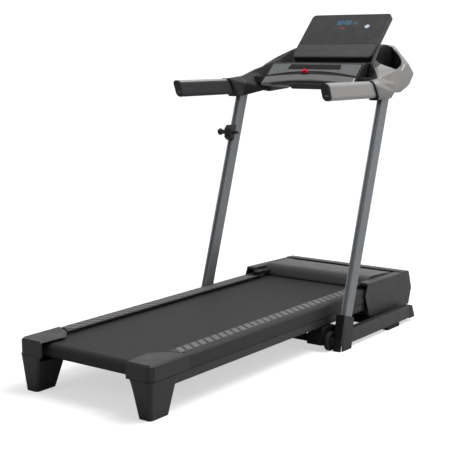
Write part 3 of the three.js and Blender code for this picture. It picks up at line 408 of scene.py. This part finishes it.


# a black strip along the gap between foot rail and frame rail, standing proud of the side: painted shade in
# the gap
railGapShade = {"x": 284.6, "inward": 8, "proud": 1.6, "low": 125.5, "high": 131.3, "start": 199, "end": 1326}
hoodShape = {
    "half": 299,
    "crownHalf": 252,
    "wall": 4,
    "groove": 5,  # between the crown and the rims beside it
    "side": [(1350, 208), (1327, 157), (1365, 67), (1712, 57), (1735, 126), (1708, 201)],
    "front": [(1658, 205), (1658, 197), (1700, 196), (1730, 126), (1708, 60), (1712, 57),
              (1735, 126), (1708, 203)],
    "rimDrop": 9,
    "cheek": [(1350, 202), (1344, 190), (1420, 176), (1600, 176), (1600, 202)],
    "cheekWall": 3,
    "crown": [(1408, 173), (1412, 188), (1422, 202), (1438, 212), (1458, 216.5), (1580, 209),
              (1632, 203), (1640, 197)],
    "crownFoot": [(1640, 190), (1450, 172)],
    "crownMiddle": 1500,
    "sideFloor": [(1356, 199), (1356, 193), (1668, 190), (1668, 196)],
    "frontFloor": [(1630, 194), (1630, 188), (1672, 188), (1672, 194)],
    "railCover": [(1329, 196), (1329, 184), (1420, 184), (1420, 194), (1345, 199)],
    "railCoverX": (222, 254),
    "shadeUnderCovers": [(1334, 180), (1352, 80), (1362, 80), (1350, 180)],  # painted shade under the covers
    "shadeUnderCoversX": (232, 294),
    "screw": [(-1.0, 0), (-1.0, 5.0), (0.4, 4.4), (0.6, 1.5), (-0.2, 1.2), (-0.2, 0)],  # out, radius
    "screwPlace": (1374, 132),
}


def acrossDeck(bm, outline, x0, x1):  # a side view in (y, z) millimetres, spread between two x places
    prism(bm, [at(x0, y, z) for y, z in outline], Vector(((x1 - x0) * mm, 0, 0)))


def rimTop(y):
    return 208 - (y - 1350) * 7 / 358


def addPart(bm, outline, x0, x1, edge=0, angle=40):  # a spread side view, rounded on its own first
    part = bmesh.new()
    acrossDeck(part, outline, x0, x1)
    outward(part)
    if edge:
        roundEdges(part, edge, 3, angle)
    mesh = bpy.data.meshes.new("part")
    part.to_mesh(mesh)
    part.free()
    bm.from_mesh(mesh)
    bpy.data.meshes.remove(mesh)


def makeHood():
    shape = hoodShape
    half, inner, wall = shape["half"], shape["crownHalf"], shape["wall"]
    crown, middle, drop = shape["crown"], shape["crownMiddle"], shape["rimDrop"]
    rimX, reach = inner + shape["groove"], half - wall + 0.5
    rim = [(1350, rimTop(1350)), (1348, rimTop(1350) - drop),
           (1660, rimTop(1660) - drop), (1660, rimTop(1660))]
    bm = bmesh.new()
    for sign in (1, -1):
        addPart(bm, shape["side"], sign * (half - wall), sign * half, 1.6)
        addPart(bm, rim, sign * rimX, sign * reach, 1.2)
        addPart(bm, shape["cheek"], sign * rimX, sign * (rimX + shape["cheekWall"]))
    addPart(bm, shape["front"], -reach, reach, 1.6, 30)
    makePiece("motor_hood_shaped", bm, "deck", "hoodPlastic", ["motor_hood"], 30)

    bm = bmesh.new()
    inside = [(y + (3 if y < middle else -3), z - wall) for y, z in crown]
    acrossDeck(bm, crown + inside[::-1], -inner, inner)
    outward(bm)
    roundEdges(bm, 1.4, 3, 35)
    drawnIn = [(y + (1 if y < middle else -1), z - 1) for y, z in crown]
    for sign in (1, -1):
        addPart(bm, drawnIn + shape["crownFoot"], sign * (inner - 3), sign * (inner - 0.4))
    makePiece("motor_hood_crown", bm, "deck", "crownPlastic", (), 30)

    # the darkest piece: groove floors under the rims and in front of the crown, and the block under the
    # covers, are painted shade in the hood's hollows; the rail covers share it
    bm = bmesh.new()
    for x in ((-half + 6, -inner + 1), (inner - 1, half - 6)):
        acrossDeck(bm, shape["sideFloor"], *x)
    acrossDeck(bm, shape["frontFloor"], -inner, inner)
    for sign in (1, -1):
        acrossDeck(bm, shape["railCover"], *(sign * x for x in shape["railCoverX"]))
        acrossDeck(bm, shape["shadeUnderCovers"], *(sign * x for x in shape["shadeUnderCoversX"]))
    outward(bm)
    roundEdges(bm, 1.2, 2, 40)
    makePiece("motor_hood_groove_shade", bm, "deck", "deepPlastic", (), 30)

    bm = bmesh.new()
    profile = [(half + out, radius) for out, radius in shape["screw"]]
    turned(bm, profile, at(0, *shape["screwPlace"]), (1, 0, 0), 20)
    makePiece("motor_hood_screw", bm, "deck", "deepPlastic", (), 30)


def makeRailGapShades():
    shape = railGapShade
    for side, sign in sides:
        bm = bmesh.new()
        acrossDeck(bm, [(shape["start"], shape["low"]), (shape["end"], shape["low"]),
                        (shape["end"], shape["high"]), (shape["start"], shape["high"])],
                   sign * (shape["x"] - shape["inward"]), sign * (shape["x"] + shape["proud"]))
        outward(bm)
        makePiece("rail_gap_shade_" + side, bm, "deck", "deepPlastic", (), 30)


def makeDeck():
    makeFootRails()
    makeRearCaps()
    makeRailGapShades()
    refine("walking_belt", "beltFace", 0.5, 2, 40)
    for side, sign in sides:
        refine("frame_rail_" + side, "framePaint", 0.8, 2, 40)
    makeHood()
    for node, material in (
        ("frame_cross_rear", "framePaint"), ("motor_plate", "framePaint"), ("deck_board", "fibreboard"),
        ("deck_cushion_right", "rubber"), ("deck_cushion_left", "rubber"), ("belly_pan", "deepPlastic"),
        ("drive_motor", "framePaint"), ("drive_belt", "rubber"), ("power_inlet", "deepPlastic"),
        ("rear_axle", "steel"), ("front_axle", "steel"), ("rear_roller", "steel"),
        ("front_roller", "steel"), ("flywheel", "castIron"), ("power_switch", "redPlastic"),
    ):
        keep(node, material)


uprightGroove = {
    "from": 334.0,
    "to": 343.0,
    "depth": 3.5,
    "rim": 1.6,
    "edge": 1.6,
    "rear": 1036.6,  # the rear face's place at the floor
    "near": 4,  # how far from that face a face may lie and still count as it
    "lean": 0.3147,
}


def makeUpright(side, sign):
    node, shape = "upright_" + side, uprightGroove
    bm = copyOf(node)
    for x in (shape["from"], shape["to"]):
        geometry = bm.verts[:] + bm.edges[:] + bm.faces[:]
        bmesh.ops.bisect_plane(bm, geom=geometry, plane_co=at(sign * x, 0, 0), plane_no=(1, 0, 0))
    bm.normal_update()
    strip = []
    for face in bm.faces:
        middle = face.calc_center_median()
        x = sign * (middle.x - midX) / mm
        atRear = middle.y < rearY + (shape["rear"] + shape["near"]) * mm + shape["lean"] * middle.z
        if face.normal.y < -0.7 and shape["from"] < x < shape["to"] and atRear:
            strip.append(face)
    bmesh.ops.inset_region(bm, faces=strip, thickness=shape["rim"] * mm, depth=-shape["depth"] * mm)
    # painted shade: the groove's faces take the dark frame paint instead of the upright's silver
    for face in strip:
        face.material_index = 1
    roundEdges(bm, shape["edge"], 3, 50)
    makePiece(node + "_shaped", bm, "base", ["uprightPaint", "framePaint"], [node], 34)


shroudShape = [  # a side view, and the two places out from the deck's middle
    ([(1006, 24), (1060, 14), (1100, 30), (1100, 91), (1020, 91)], (222, 288)),
    ([(1088, 26), (1132, 26), (1132, 91), (1088, 91)], (292, 316)),
]


def makePivotShrouds():
    bm = bmesh.new()
    for sign in (1, -1):
        for outline, (near, far) in shroudShape:
            acrossDeck(bm, outline, sign * near, sign * far)
    outward(bm)
    roundEdges(bm, 3, 3, 30)
    makePiece("pivot_shrouds", bm, "base", "deepPlastic", (), 30)


def makeBase():
    makePivotShrouds()
    for side, sign in sides:
        refine("base_tube_" + side, "framePaint", 1.2, 2, 30)
        refine("base_end_cap_" + side, "blackPlastic", 2.5, 3)
        refine("base_foot_" + side, "rubber", 1.5)
        makeUpright(side, sign)
        refine("upright_boot_" + side, "bootPlastic", 0.7, 2)
        refine("transport_wheel_" + side, "rubber", 1.0)
        keep("pivot_bolt_" + side, "steel")
    for node in ("base_cross_rear", "pivot_frame"):
        keep(node, "framePaint")
    refine("latch_housing", "blackPlastic", 3.0, 3)
    refine("latch_pin", "blackPlastic", 1.0)


wingShape = {
    # (out from the deck's middle, from the rear face, up), in millimetres, for the right side
    "collar": [(317, 1249, 1021), (349, 1249, 1021), (360, 1262, 1004), (360, 1290, 962), (349, 1300, 947),
               (317, 1300, 947), (312, 1290, 962), (312, 1262, 1004)],
    "shoulder": [(329, 1336, 1031), (345, 1330, 1012), (363, 1343, 955), (369, 1405, 976), (355, 1400, 950),
                 (318, 1345, 947), (300, 1336, 1000), (270, 1411, 1060), (232, 1405, 975), (366, 1420, 1005)],
    "head": [(270, 1411, 1060), (236, 1447, 1092), (216, 1500, 1116), (214, 1575, 1142), (226, 1632, 1148),
             (240, 1634, 1150), (268, 1620, 1132), (305, 1588, 1112), (342, 1566, 1086), (353, 1596, 1044),
             (352, 1562, 1002), (357, 1476, 972), (353, 1534, 990), (362, 1492, 1009),
             (368, 1410, 980), (329, 1340, 1029), (228, 1411, 965), (228, 1560, 975),
             (215, 1625, 1030), (300, 1600, 1000)],
    "farTip": [(208, 1572, 1164), (214, 1632, 1160), (240, 1638, 1156)],
    "wellMouth": [(247, 1462), (266, 1484), (294, 1490), (317, 1504), (324, 1532), (297, 1568), (264, 1602),
                  (238, 1616), (222, 1600), (218, 1556)],
    "wellTop": (1060, 1230),  # the mouth's walls stand upright between these levels
    "wellFloor": (282, 1548, 34, 1000),  # centre, radius and height
    "wellSteps": 16,
    "rimLevel": 1050,  # above this, faces of the well that look up keep the shell's finish
    "lip": [(272, 1412, 1061), (390, 1412, 1061), (322, 1500, 1059), (390, 1515, 1058), (390, 1640, 1160),
            (240, 1640, 1160), (250, 1462, 1100), (222, 1562, 1166)],  # what is cut above the near lip
    "lipTop": 1300,
    "voxel": 2.4,
    "softening": 7,
    "ridge": [(338, 1249), (329, 1336), (272, 1411), (268, 1474), (262, 1560), (240, 1600), (200, 1625)],
}


def hull(bm, points):  # the tightest closed skin round some points
    verts = [bm.verts.new(point) for point in points]
    result = bmesh.ops.convex_hull(bm, input=verts)
    spare = result["geom_unused"] + result["geom_interior"]
    loose = {item for item in spare if isinstance(item, bmesh.types.BMVert)}
    bmesh.ops.delete(bm, geom=list(loose), context="VERTS")


def temporary(name, bm):
    bmesh.ops.recalc_face_normals(bm, faces=bm.faces)
    mesh = bpy.data.meshes.new(name)
    bm.to_mesh(mesh)
    bm.free()
    holder = bpy.data.objects.new(name, mesh)
    bpy.context.scene.collection.objects.link(holder)
    return holder


def settle(holder):  # a bmesh of the object with its modifiers applied; the object goes
    bpy.context.view_layer.update()
    shaped = holder.evaluated_get(bpy.context.evaluated_depsgraph_get())
    bm = bmesh.new()
    bm.from_mesh(shaped.to_mesh())
    shaped.to_mesh_clear()
    old = holder.data
    bpy.data.objects.remove(holder)
    bpy.data.meshes.remove(old)
    return bm


def melted(name, hulls, cutters, voxel, softening):  # hulls run together, cut, and softened
    bm = bmesh.new()
    for points in hulls:
        hull(bm, points)
    body = temporary(name + "Body", bm)
    union = body.modifiers.new("union", "REMESH")
    union.mode = "VOXEL"
    union.voxel_size = voxel * mm
    tools = []
    for points in cutters:
        tool = bmesh.new()
        hull(tool, points)
        tools.append(temporary(name + "Tool", tool))
        cut = body.modifiers.new("cut", "BOOLEAN")
        cut.operation = "DIFFERENCE"
        cut.solver = "EXACT"
        cut.object = tools[-1]
    again = body.modifiers.new("again", "REMESH")
    again.mode = "VOXEL"
    again.voxel_size = voxel * mm
    soften = body.modifiers.new("soften", "SMOOTH")
    soften.factor = 0.5
    soften.iterations = softening
    shaped = settle(body)
    for tool in tools:
        old = tool.data
        bpy.data.objects.remove(tool)
        bpy.data.meshes.remove(old)
    return shaped


def ridgeAt(y):  # how far out the ridge of the right wing runs, at a place along the deck
    ridge = wingShape["ridge"]
    for (x0, y0), (x1, y1) in zip(ridge, ridge[1:]):
        if y <= y1:
            return x0 + (x1 - x0) * max(0.0, (y - y0) / (y1 - y0))
    return ridge[-1][0]


def inMouth(x, y, margin):  # whether a place is inside the well's mouth, seen from above
    mouth = wingShape["wellMouth"]
    middle = Vector((sum(p[0] for p in mouth), sum(p[1] for p in mouth))) / len(mouth)
    inside = False
    arms = [Vector(p) - middle for p in mouth]
    corners = [middle + arm * (1 + margin / arm.length) for arm in arms]
    for p, q in zip(corners, corners[1:] + corners[:1]):
        if (p.y > y) != (q.y > y) and x < p.x + (q.x - p.x) * (y - p.y) / (q.y - p.y):
            inside = not inside
    return inside


def wellPoints():  # the ring at the well's floor and the two rings of its mouth
    cx, cy, radius, floorZ = wingShape["wellFloor"]
    steps = wingShape["wellSteps"]
    points = []
    for i in range(steps):
        turn = i * math.tau / steps
        points.append((cx + radius * math.cos(turn), cy + radius * math.sin(turn), floorZ))
    return points + [(x, y, z) for x, y in wingShape["wellMouth"] for z in wingShape["wellTop"]]


def paintWing(bm, sign):  # the shell outside, black inside the ridge, and the darkest black in the well as painted shade
    floorZ = wingShape["wellFloor"][3]
    for face in bm.faces:
        middle = face.calc_center_median()
        x = sign * (middle.x - midX) / mm
        y = (middle.y - rearY) / mm
        # painted shade: the well's faces below the rim take the darkest black
        if inMouth(x, y, 1.2) and middle.z / mm > floorZ - 4:
            upward = face.normal.z > 0.55 and middle.z / mm > wingShape["rimLevel"]
            face.material_index = 0 if upward else 1
        elif x < ridgeAt(y) or face.normal.x * sign < -0.35:
            face.material_index = 2


def makeWings():
    shape = wingShape
    shave = [(x, y, z) for x, y, low in shape["lip"] for z in (low, shape["lipTop"])]
    for side, sign in sides:
        def onSide(points):
            return [at(sign * x, y, z) for x, y, z in points]

        head = shape["head"] + (shape["farTip"] if side == "right" else [])
        arm = shape["collar"] + shape["shoulder"][:7]
        hulls = [onSide(points) for points in (shape["collar"], shape["shoulder"], head, arm)]
        cutters = [onSide(wellPoints()), onSide(shave)]
        bm = melted("wing", hulls, cutters, shape["voxel"], shape["softening"])
        paintWing(bm, sign)
        node = "console_wing_" + side
        paints = ["wingPlastic", "deepPlastic", "blackPlastic"]
        makePiece(node + "_shaped", bm, "base", paints, [node, "cup_holder_" + side], 60)


panelShape = {
    "tilt": 45.6,  # degrees from level
    "origin": (0, 1524, 1109),  # the middle of the panel's lower edge
    "band": ((-186, 186), (7, 74.5), -0.5, 0.55, 9),  # across, up the panel, out of it, corner radius
    "figureLevel": -0.1,
    "figurePlace": (-54, 193),
    "figureSize": (22.0, 12.0, 2.6),  # height, width and stroke
    "figureStep": 17,
    "dots": (199, 207),
    "dotSize": 3,
    "dotStep": 8,
    "sideGap": 8,
    "sideSize": (14, 8, 2),
    "sideStep": 12,
    "lowPlace": (-34, 165),
    "lowSize": (11, 7, 1.8),
    "lowStep": 11,
    "mark": ((144, 158), (91, 95), -0.12, 0.1, 1.8, 3),
    "ring": [(-0.2, 10.8), (0.5, 11.1), (0.9, 12.0), (0.5, 13.0), (-0.2, 13.2), (-0.2, 10.8)],
    "ringPlace": (103, 179, 0),
}
segmentsOf = {"0": "abcdef", "1": "bc", "2": "abdeg", "3": "abcdg", "5": "acdfg"}


def sloped(origin, tilt):  # millimetres on a sloping face: across, up the slope, and out of it
    turn = Matrix.Rotation(math.radians(tilt), 4, "X")
    return Matrix.Translation(at(*origin)) @ turn @ Matrix.Scale(mm, 4)


def plate(bm, outline, low, high):  # a flat outline raised between two levels
    prism(bm, [Vector((x, y, low)) for x, y in outline], Vector((0, 0, high - low)))


def slab(bm, x, y, low, high):
    plate(bm, [(x[0], y[0]), (x[1], y[0]), (x[1], y[1]), (x[0], y[1])], low, high)


def roundedPlate(bm, x, y, low, high, radius, steps=6):
    outline = []
    for cx, cy, start in ((x[1] - radius, y[0] + radius, -90), (x[1] - radius, y[1] - radius, 0),
                          (x[0] + radius, y[1] - radius, 90), (x[0] + radius, y[0] + radius, 180)):
        for i in range(steps + 1):
            a = math.radians(start + 90 * i / steps)
            outline.append((cx + radius * math.cos(a), cy + radius * math.sin(a)))
    plate(bm, outline, low, high)


def digit(bm, number, x, y, size, level):
    height, width, stroke = size
    half = height / 2
    across = (x + stroke, x + width - stroke)
    left, right = (x, x + stroke), (x + width - stroke, x + width)
    lower, upper = (y + 0.6, y + half - 0.6), (y + half + 0.6, y + height - 0.6)
    places = {
        "a": (across, (y + height - stroke, y + height)),
        "d": (across, (y, y + stroke)),
        "g": (across, (y + half - stroke / 2, y + half + stroke / 2)),
        "b": (right, upper),
        "c": (right, lower),
        "f": (left, upper),
        "e": (left, lower),
    }
    for name in segmentsOf[number]:
        slab(bm, *places[name], level, level + 0.25)


def figures(bm, text, x, y, size, step):  # a row of figures; returns where the next would start
    for number in text:
        digit(bm, number, x, y, size, panelShape["figureLevel"])
        x += step
    return x


def placed(bm, origin, tilt):
    bmesh.ops.transform(bm, matrix=sloped(origin, tilt), verts=bm.verts)
    outward(bm)


def makeDisplay():
    shape = panelShape
    origin, tilt = shape["origin"], shape["tilt"]
    refine("display_housing", "displayPlastic", 2.6, 4, 40)
    refine("display_lens", "glossWindow", 0.12, 2, 40)

    band = bmesh.new()
    roundedPlate(band, *shape["band"])
    placed(band, origin, tilt)
    roundEdges(band, 0.4, 2, 40)
    makePiece("display_band", band, "base", "bandPlastic", ())

    bm = bmesh.new()
    x, y = shape["figurePlace"]
    size, step, level = shape["figureSize"], shape["figureStep"], shape["figureLevel"]
    x = figures(bm, "30", x, y, size, step)
    for dot in shape["dots"]:
        slab(bm, (x, x + shape["dotSize"]), (dot, dot + shape["dotSize"]), level, level + 0.25)
    x = figures(bm, "00", x + shape["dotStep"], y, size, step)
    figures(bm, "25", x + shape["sideGap"], y, shape["sideSize"], shape["sideStep"])
    placed(bm, origin, tilt)
    makePiece("display_figures", bm, "base", "blueLamp", ())

    bm = bmesh.new()
    figures(bm, "150", *shape["lowPlace"], shape["lowSize"], shape["lowStep"])
    placed(bm, origin, tilt)
    makePiece("display_small_figures", bm, "base", "redLamp", ())

    bm = bmesh.new()
    roundedPlate(bm, *shape["mark"])
    placed(bm, origin, tilt)
    makePiece("display_lamp_mark", bm, "base", "touchMark", ())

    ring = bmesh.new()
    turned(ring, shape["ring"], Vector((0, 0, 0)), (0, 0, 1), 40)
    bmesh.ops.scale(ring, vec=(1000, 1000, 1000), verts=ring.verts)  # back to the slope's millimetres
    bmesh.ops.translate(ring, vec=shape["ringPlace"], verts=ring.verts)
    placed(ring, origin, tilt)
    makePiece("start_button_ring", ring, "base", "blueRing", ())


trayShape = {
    "tilt": 44.2,
    "origin": (0, 1343.8, 1008.1),
    "half": 211.0,
    "floor": ((2, 100), -0.2, 1.2),  # up the slope, and out of it
    "floorSpare": 10,
    "plateHigh": (103.0, 0.00007),  # an edge at the middle, and how fast it falls to the sides
    "plateLow": (61.0, 0.00058),
    "plateLevels": (0.2, 4.0),
    "barHigh": (42.0, 0.00035),
    "barLow": (7.0, 0.0005),
    "barLevels": (-8, 6.5),
    "barRound": 5.0,
    "inset": [(-127, 71), (127, 71), (121, 99.5), (-121, 99.5)],
    "insetLevels": (3.4, 4.5),
    "insetRibs": (28, -116, 8.6, 3),  # how many, where the first starts, pitch and width
    "insetRibSpan": ((74, 96.5), 4.3, 5.0),
    "skirtFrom": -78,
    "skirtSpare": 11,
    "skirt": ((-16, 10), -24, -2),
}


def arch(height, fall, half, steps=18):
    return [(x, height - fall * x * x) for x in (half * (2 * i / steps - 1) for i in range(steps + 1))]


def makeTray():
    shape = trayShape
    origin, tilt, half = shape["origin"], shape["tilt"], shape["half"]
    base = bmesh.new()
    spare = shape["floorSpare"]
    slab(base, (-half - spare, half + spare), *shape["floor"])
    placed(base, origin, tilt)
    roundEdges(base, 0.4)
    makePiece("tray_floor", base, "base", "blackPlastic", ["tray_panel"])

    bm = bmesh.new()
    top = arch(*shape["plateHigh"], half)
    low = arch(*shape["plateLow"], half)
    plate(bm, low + top[::-1], *shape["plateLevels"])
    placed(bm, origin, tilt)
    roundEdges(bm, 1.2, 3, 40)
    makePiece("tray_plate", bm, "base", "panelPlastic", ())

    bm = bmesh.new()
    plate(bm, shape["inset"], *shape["insetLevels"])
    placed(bm, origin, tilt)
    roundEdges(bm, 0.5, 2, 40)
    makePiece("tray_inset", bm, "base", "deepPlastic", ["tray_mat"])
    bm = bmesh.new()
    count, start, pitch, width = shape["insetRibs"]
    for i in range(count):
        x = start + i * pitch
        slab(bm, (x, x + width), *shape["insetRibSpan"])
    placed(bm, origin, tilt)
    makePiece("tray_inset_ribs", bm, "base", "rubber", ())

    skirt = bmesh.new()
    slab(skirt, (shape["skirtFrom"], half + shape["skirtSpare"]), *shape["skirt"])
    placed(skirt, origin, tilt)
    roundEdges(skirt, 3, 3, 40)
    makePiece("tray_skirt", skirt, "base", "blackPlastic", ())

    bm = bmesh.new()
    top = arch(*shape["barHigh"], half + 4)
    low = arch(*shape["barLow"], half + 9)  # both reach the wings
    plate(bm, low + top[::-1], *shape["barLevels"])
    placed(bm, origin, tilt)
    roundEdges(bm, shape["barRound"], 4, 50)
    makePiece("tray_front_bar", bm, "base", "barPlastic", ())


gripShape = {
    "middle": 338,  # out from the deck's middle
    "ring": [(321, 1249, 1023), (353, 1249, 1023), (361, 1261, 1006), (361, 1291, 960), (353, 1299, 946),
             (321, 1299, 946), (313, 1291, 960), (313, 1261, 1006)],
    "ringSpread": 1.03,
    "ringBack": (-9, -1),  # where it starts and ends, behind the wing's collar
    "shellOut": 0.12,  # faces that look out or up by more than this are the silver shell
    "shellUp": 0.55,
}


def makeHandle(side, sign):
    shape = gripShape
    middle, spread = shape["middle"], shape["ringSpread"]

    def shell(face):
        return int(face.normal.x * sign > shape["shellOut"] or face.normal.z > shape["shellUp"])

    refine("handle_tube_" + side, "steel", 0.5)
    refine("grip_" + side, ["foam", "gripShell"], 0.8, paint=shell)
    points = []
    for x, y, z in shape["ring"]:
        for back in shape["ringBack"]:
            points.append(at(sign * (middle + (x - middle) * spread), y + back, z))
    ring = bmesh.new()
    hull(ring, points)
    roundEdges(ring, 0.8)
    makePiece("grip_ring_" + side, ring, "base", "deepPlastic", ())
    refine("grip_cap_" + side, "blackPlastic", 1.5)


def makeConsole():
    makeWings()
    for side, sign in sides:
        makeHandle(side, sign)
    refine("console_upper", "blackPlastic", 2.0, 3)
    refine("console_lower", "blackPlastic", 2.0, 3)
    keep("console_crossbar", "framePaint")
    makeTray()
    makeDisplay()
    refine("safety_key", "redPlastic", 1.0)
    refine("start_button", "silverPlastic", 0.4)


makeDeck()
print("deck made")
makeBase()
print("base made")
makeConsole()
print("console made")


studio = {
    "lens": 86.4,
    "turn": 0.6338,  # the camera's angles, in radians
    "down": 0.1592,
    "place": (2.3697, -3.2968, 1.1324),
    "floorSize": 6,
    "floorColour": (0.5, 0.5, 0.5),
    "floorFade": (3.2, 4.6),  # metres from the middle, where the floor runs into the white behind
    "wallWhite": 1.05,
    "paperGlow": 0.56,  # seen by the camera only: keeps the floor white and its shadows soft
    "fill": 0.26,  # light from the camera's side
    "glow": 0.9,  # light from behind the machine
    "glowFrom": (0.1, 0.95, 0.3),
    "glowRange": (-0.2, 0.8),
    "aim": (0.0, 0.1, 0.5),  # where the lights point
    "lights": {  # place, size and power
        "topLight": ((1.35, 0.9, 4.0), 2.8, 200),
        "rightLight": ((4.2, 1.2, 1.8), 2.4, 20),
        "rearLight": ((-1.6, -4.6, 3.2), 2.0, 34),
    },
}


def makeFloor():
    bm = bmesh.new()
    bmesh.ops.create_grid(bm, x_segments=1, y_segments=1, size=studio["floorSize"])
    mesh = bpy.data.meshes.new("floor")
    bm.to_mesh(mesh)
    bm.free()
    floor = bpy.data.objects.new("floor", mesh)
    bpy.context.scene.collection.objects.link(floor)
    material, nodes, links, shader = shaderNodes("floorPaper")
    shader.inputs["Base Color"].default_value = (*studio["floorColour"], 1)
    shader.inputs["Roughness"].default_value = 0.9
    shader.inputs["Specular IOR Level"].default_value = 0.1
    shader.inputs["Emission Color"].default_value = (1, 1, 1, 1)
    seen = nodes.new("ShaderNodeMath")
    seen.operation = "MULTIPLY"
    links.new(nodes.new("ShaderNodeLightPath").outputs["Is Camera Ray"], seen.inputs[0])
    seen.inputs[1].default_value = studio["paperGlow"]
    links.new(seen.outputs[0], shader.inputs["Emission Strength"])
    distance = nodes.new("ShaderNodeVectorMath")
    distance.operation = "LENGTH"
    links.new(nodes.new("ShaderNodeTexCoord").outputs["Object"], distance.inputs[0])
    fade = nodes.new("ShaderNodeMapRange")
    near, far = studio["floorFade"]
    fade.inputs["From Min"].default_value = near
    fade.inputs["From Max"].default_value = far
    links.new(distance.outputs["Value"], fade.inputs["Value"])
    mix = nodes.new("ShaderNodeMixShader")
    links.new(fade.outputs["Result"], mix.inputs["Fac"])
    links.new(shader.outputs[0], mix.inputs[1])
    links.new(nodes.new("ShaderNodeBsdfTransparent").outputs[0], mix.inputs[2])
    links.new(mix.outputs[0], nodes["Material Output"].inputs["Surface"])
    mesh.materials.append(material)


def makeSky():
    world = bpy.data.worlds.new("studio")
    world.use_nodes = True
    nodes, links = world.node_tree.nodes, world.node_tree.links
    facing = nodes.new("ShaderNodeVectorMath")
    facing.operation = "DOT_PRODUCT"
    links.new(nodes.new("ShaderNodeTexCoord").outputs["Generated"], facing.inputs[0])
    facing.inputs[1].default_value = Vector(studio["glowFrom"]).normalized()
    glow = nodes.new("ShaderNodeMapRange")
    glow.interpolation_type = "SMOOTHSTEP"
    start, end = studio["glowRange"]
    glow.inputs["From Min"].default_value = start
    glow.inputs["From Max"].default_value = end
    glow.inputs["To Min"].default_value = studio["fill"]
    glow.inputs["To Max"].default_value = studio["glow"]
    links.new(facing.outputs["Value"], glow.inputs["Value"])
    seen = nodes.new("ShaderNodeMix")
    links.new(nodes.new("ShaderNodeLightPath").outputs["Is Camera Ray"], seen.inputs["Factor"])
    links.new(glow.outputs["Result"], seen.inputs["A"])
    seen.inputs["B"].default_value = studio["wallWhite"]
    nodes["Background"].inputs["Color"].default_value = (1, 1, 1, 1)
    links.new(seen.outputs["Result"], nodes["Background"].inputs["Strength"])
    bpy.context.scene.world = world


def makeStudio():
    camera = bpy.data.objects.new("camera", bpy.data.cameras.new("camera"))
    camera.data.lens = studio["lens"]
    camera.data.sensor_width = 36
    camera.location = studio["place"]
    camera.rotation_euler = (math.pi / 2 - studio["down"], 0, studio["turn"])
    bpy.context.scene.collection.objects.link(camera)
    bpy.context.scene.camera = camera
    makeFloor()
    makeSky()
    bpy.context.scene.view_settings.view_transform = "Standard"
    for name, (place, size, power) in studio["lights"].items():
        light = bpy.data.lights.new(name, "AREA")
        light.size = size
        light.energy = power
        holder = bpy.data.objects.new(name, light)
        holder.location = place
        aim = Vector(studio["aim"]) - Vector(place)
        holder.rotation_euler = aim.to_track_quat("-Z", "Y").to_euler()
        bpy.context.scene.collection.objects.link(holder)


makeStudio()
print("studio made")
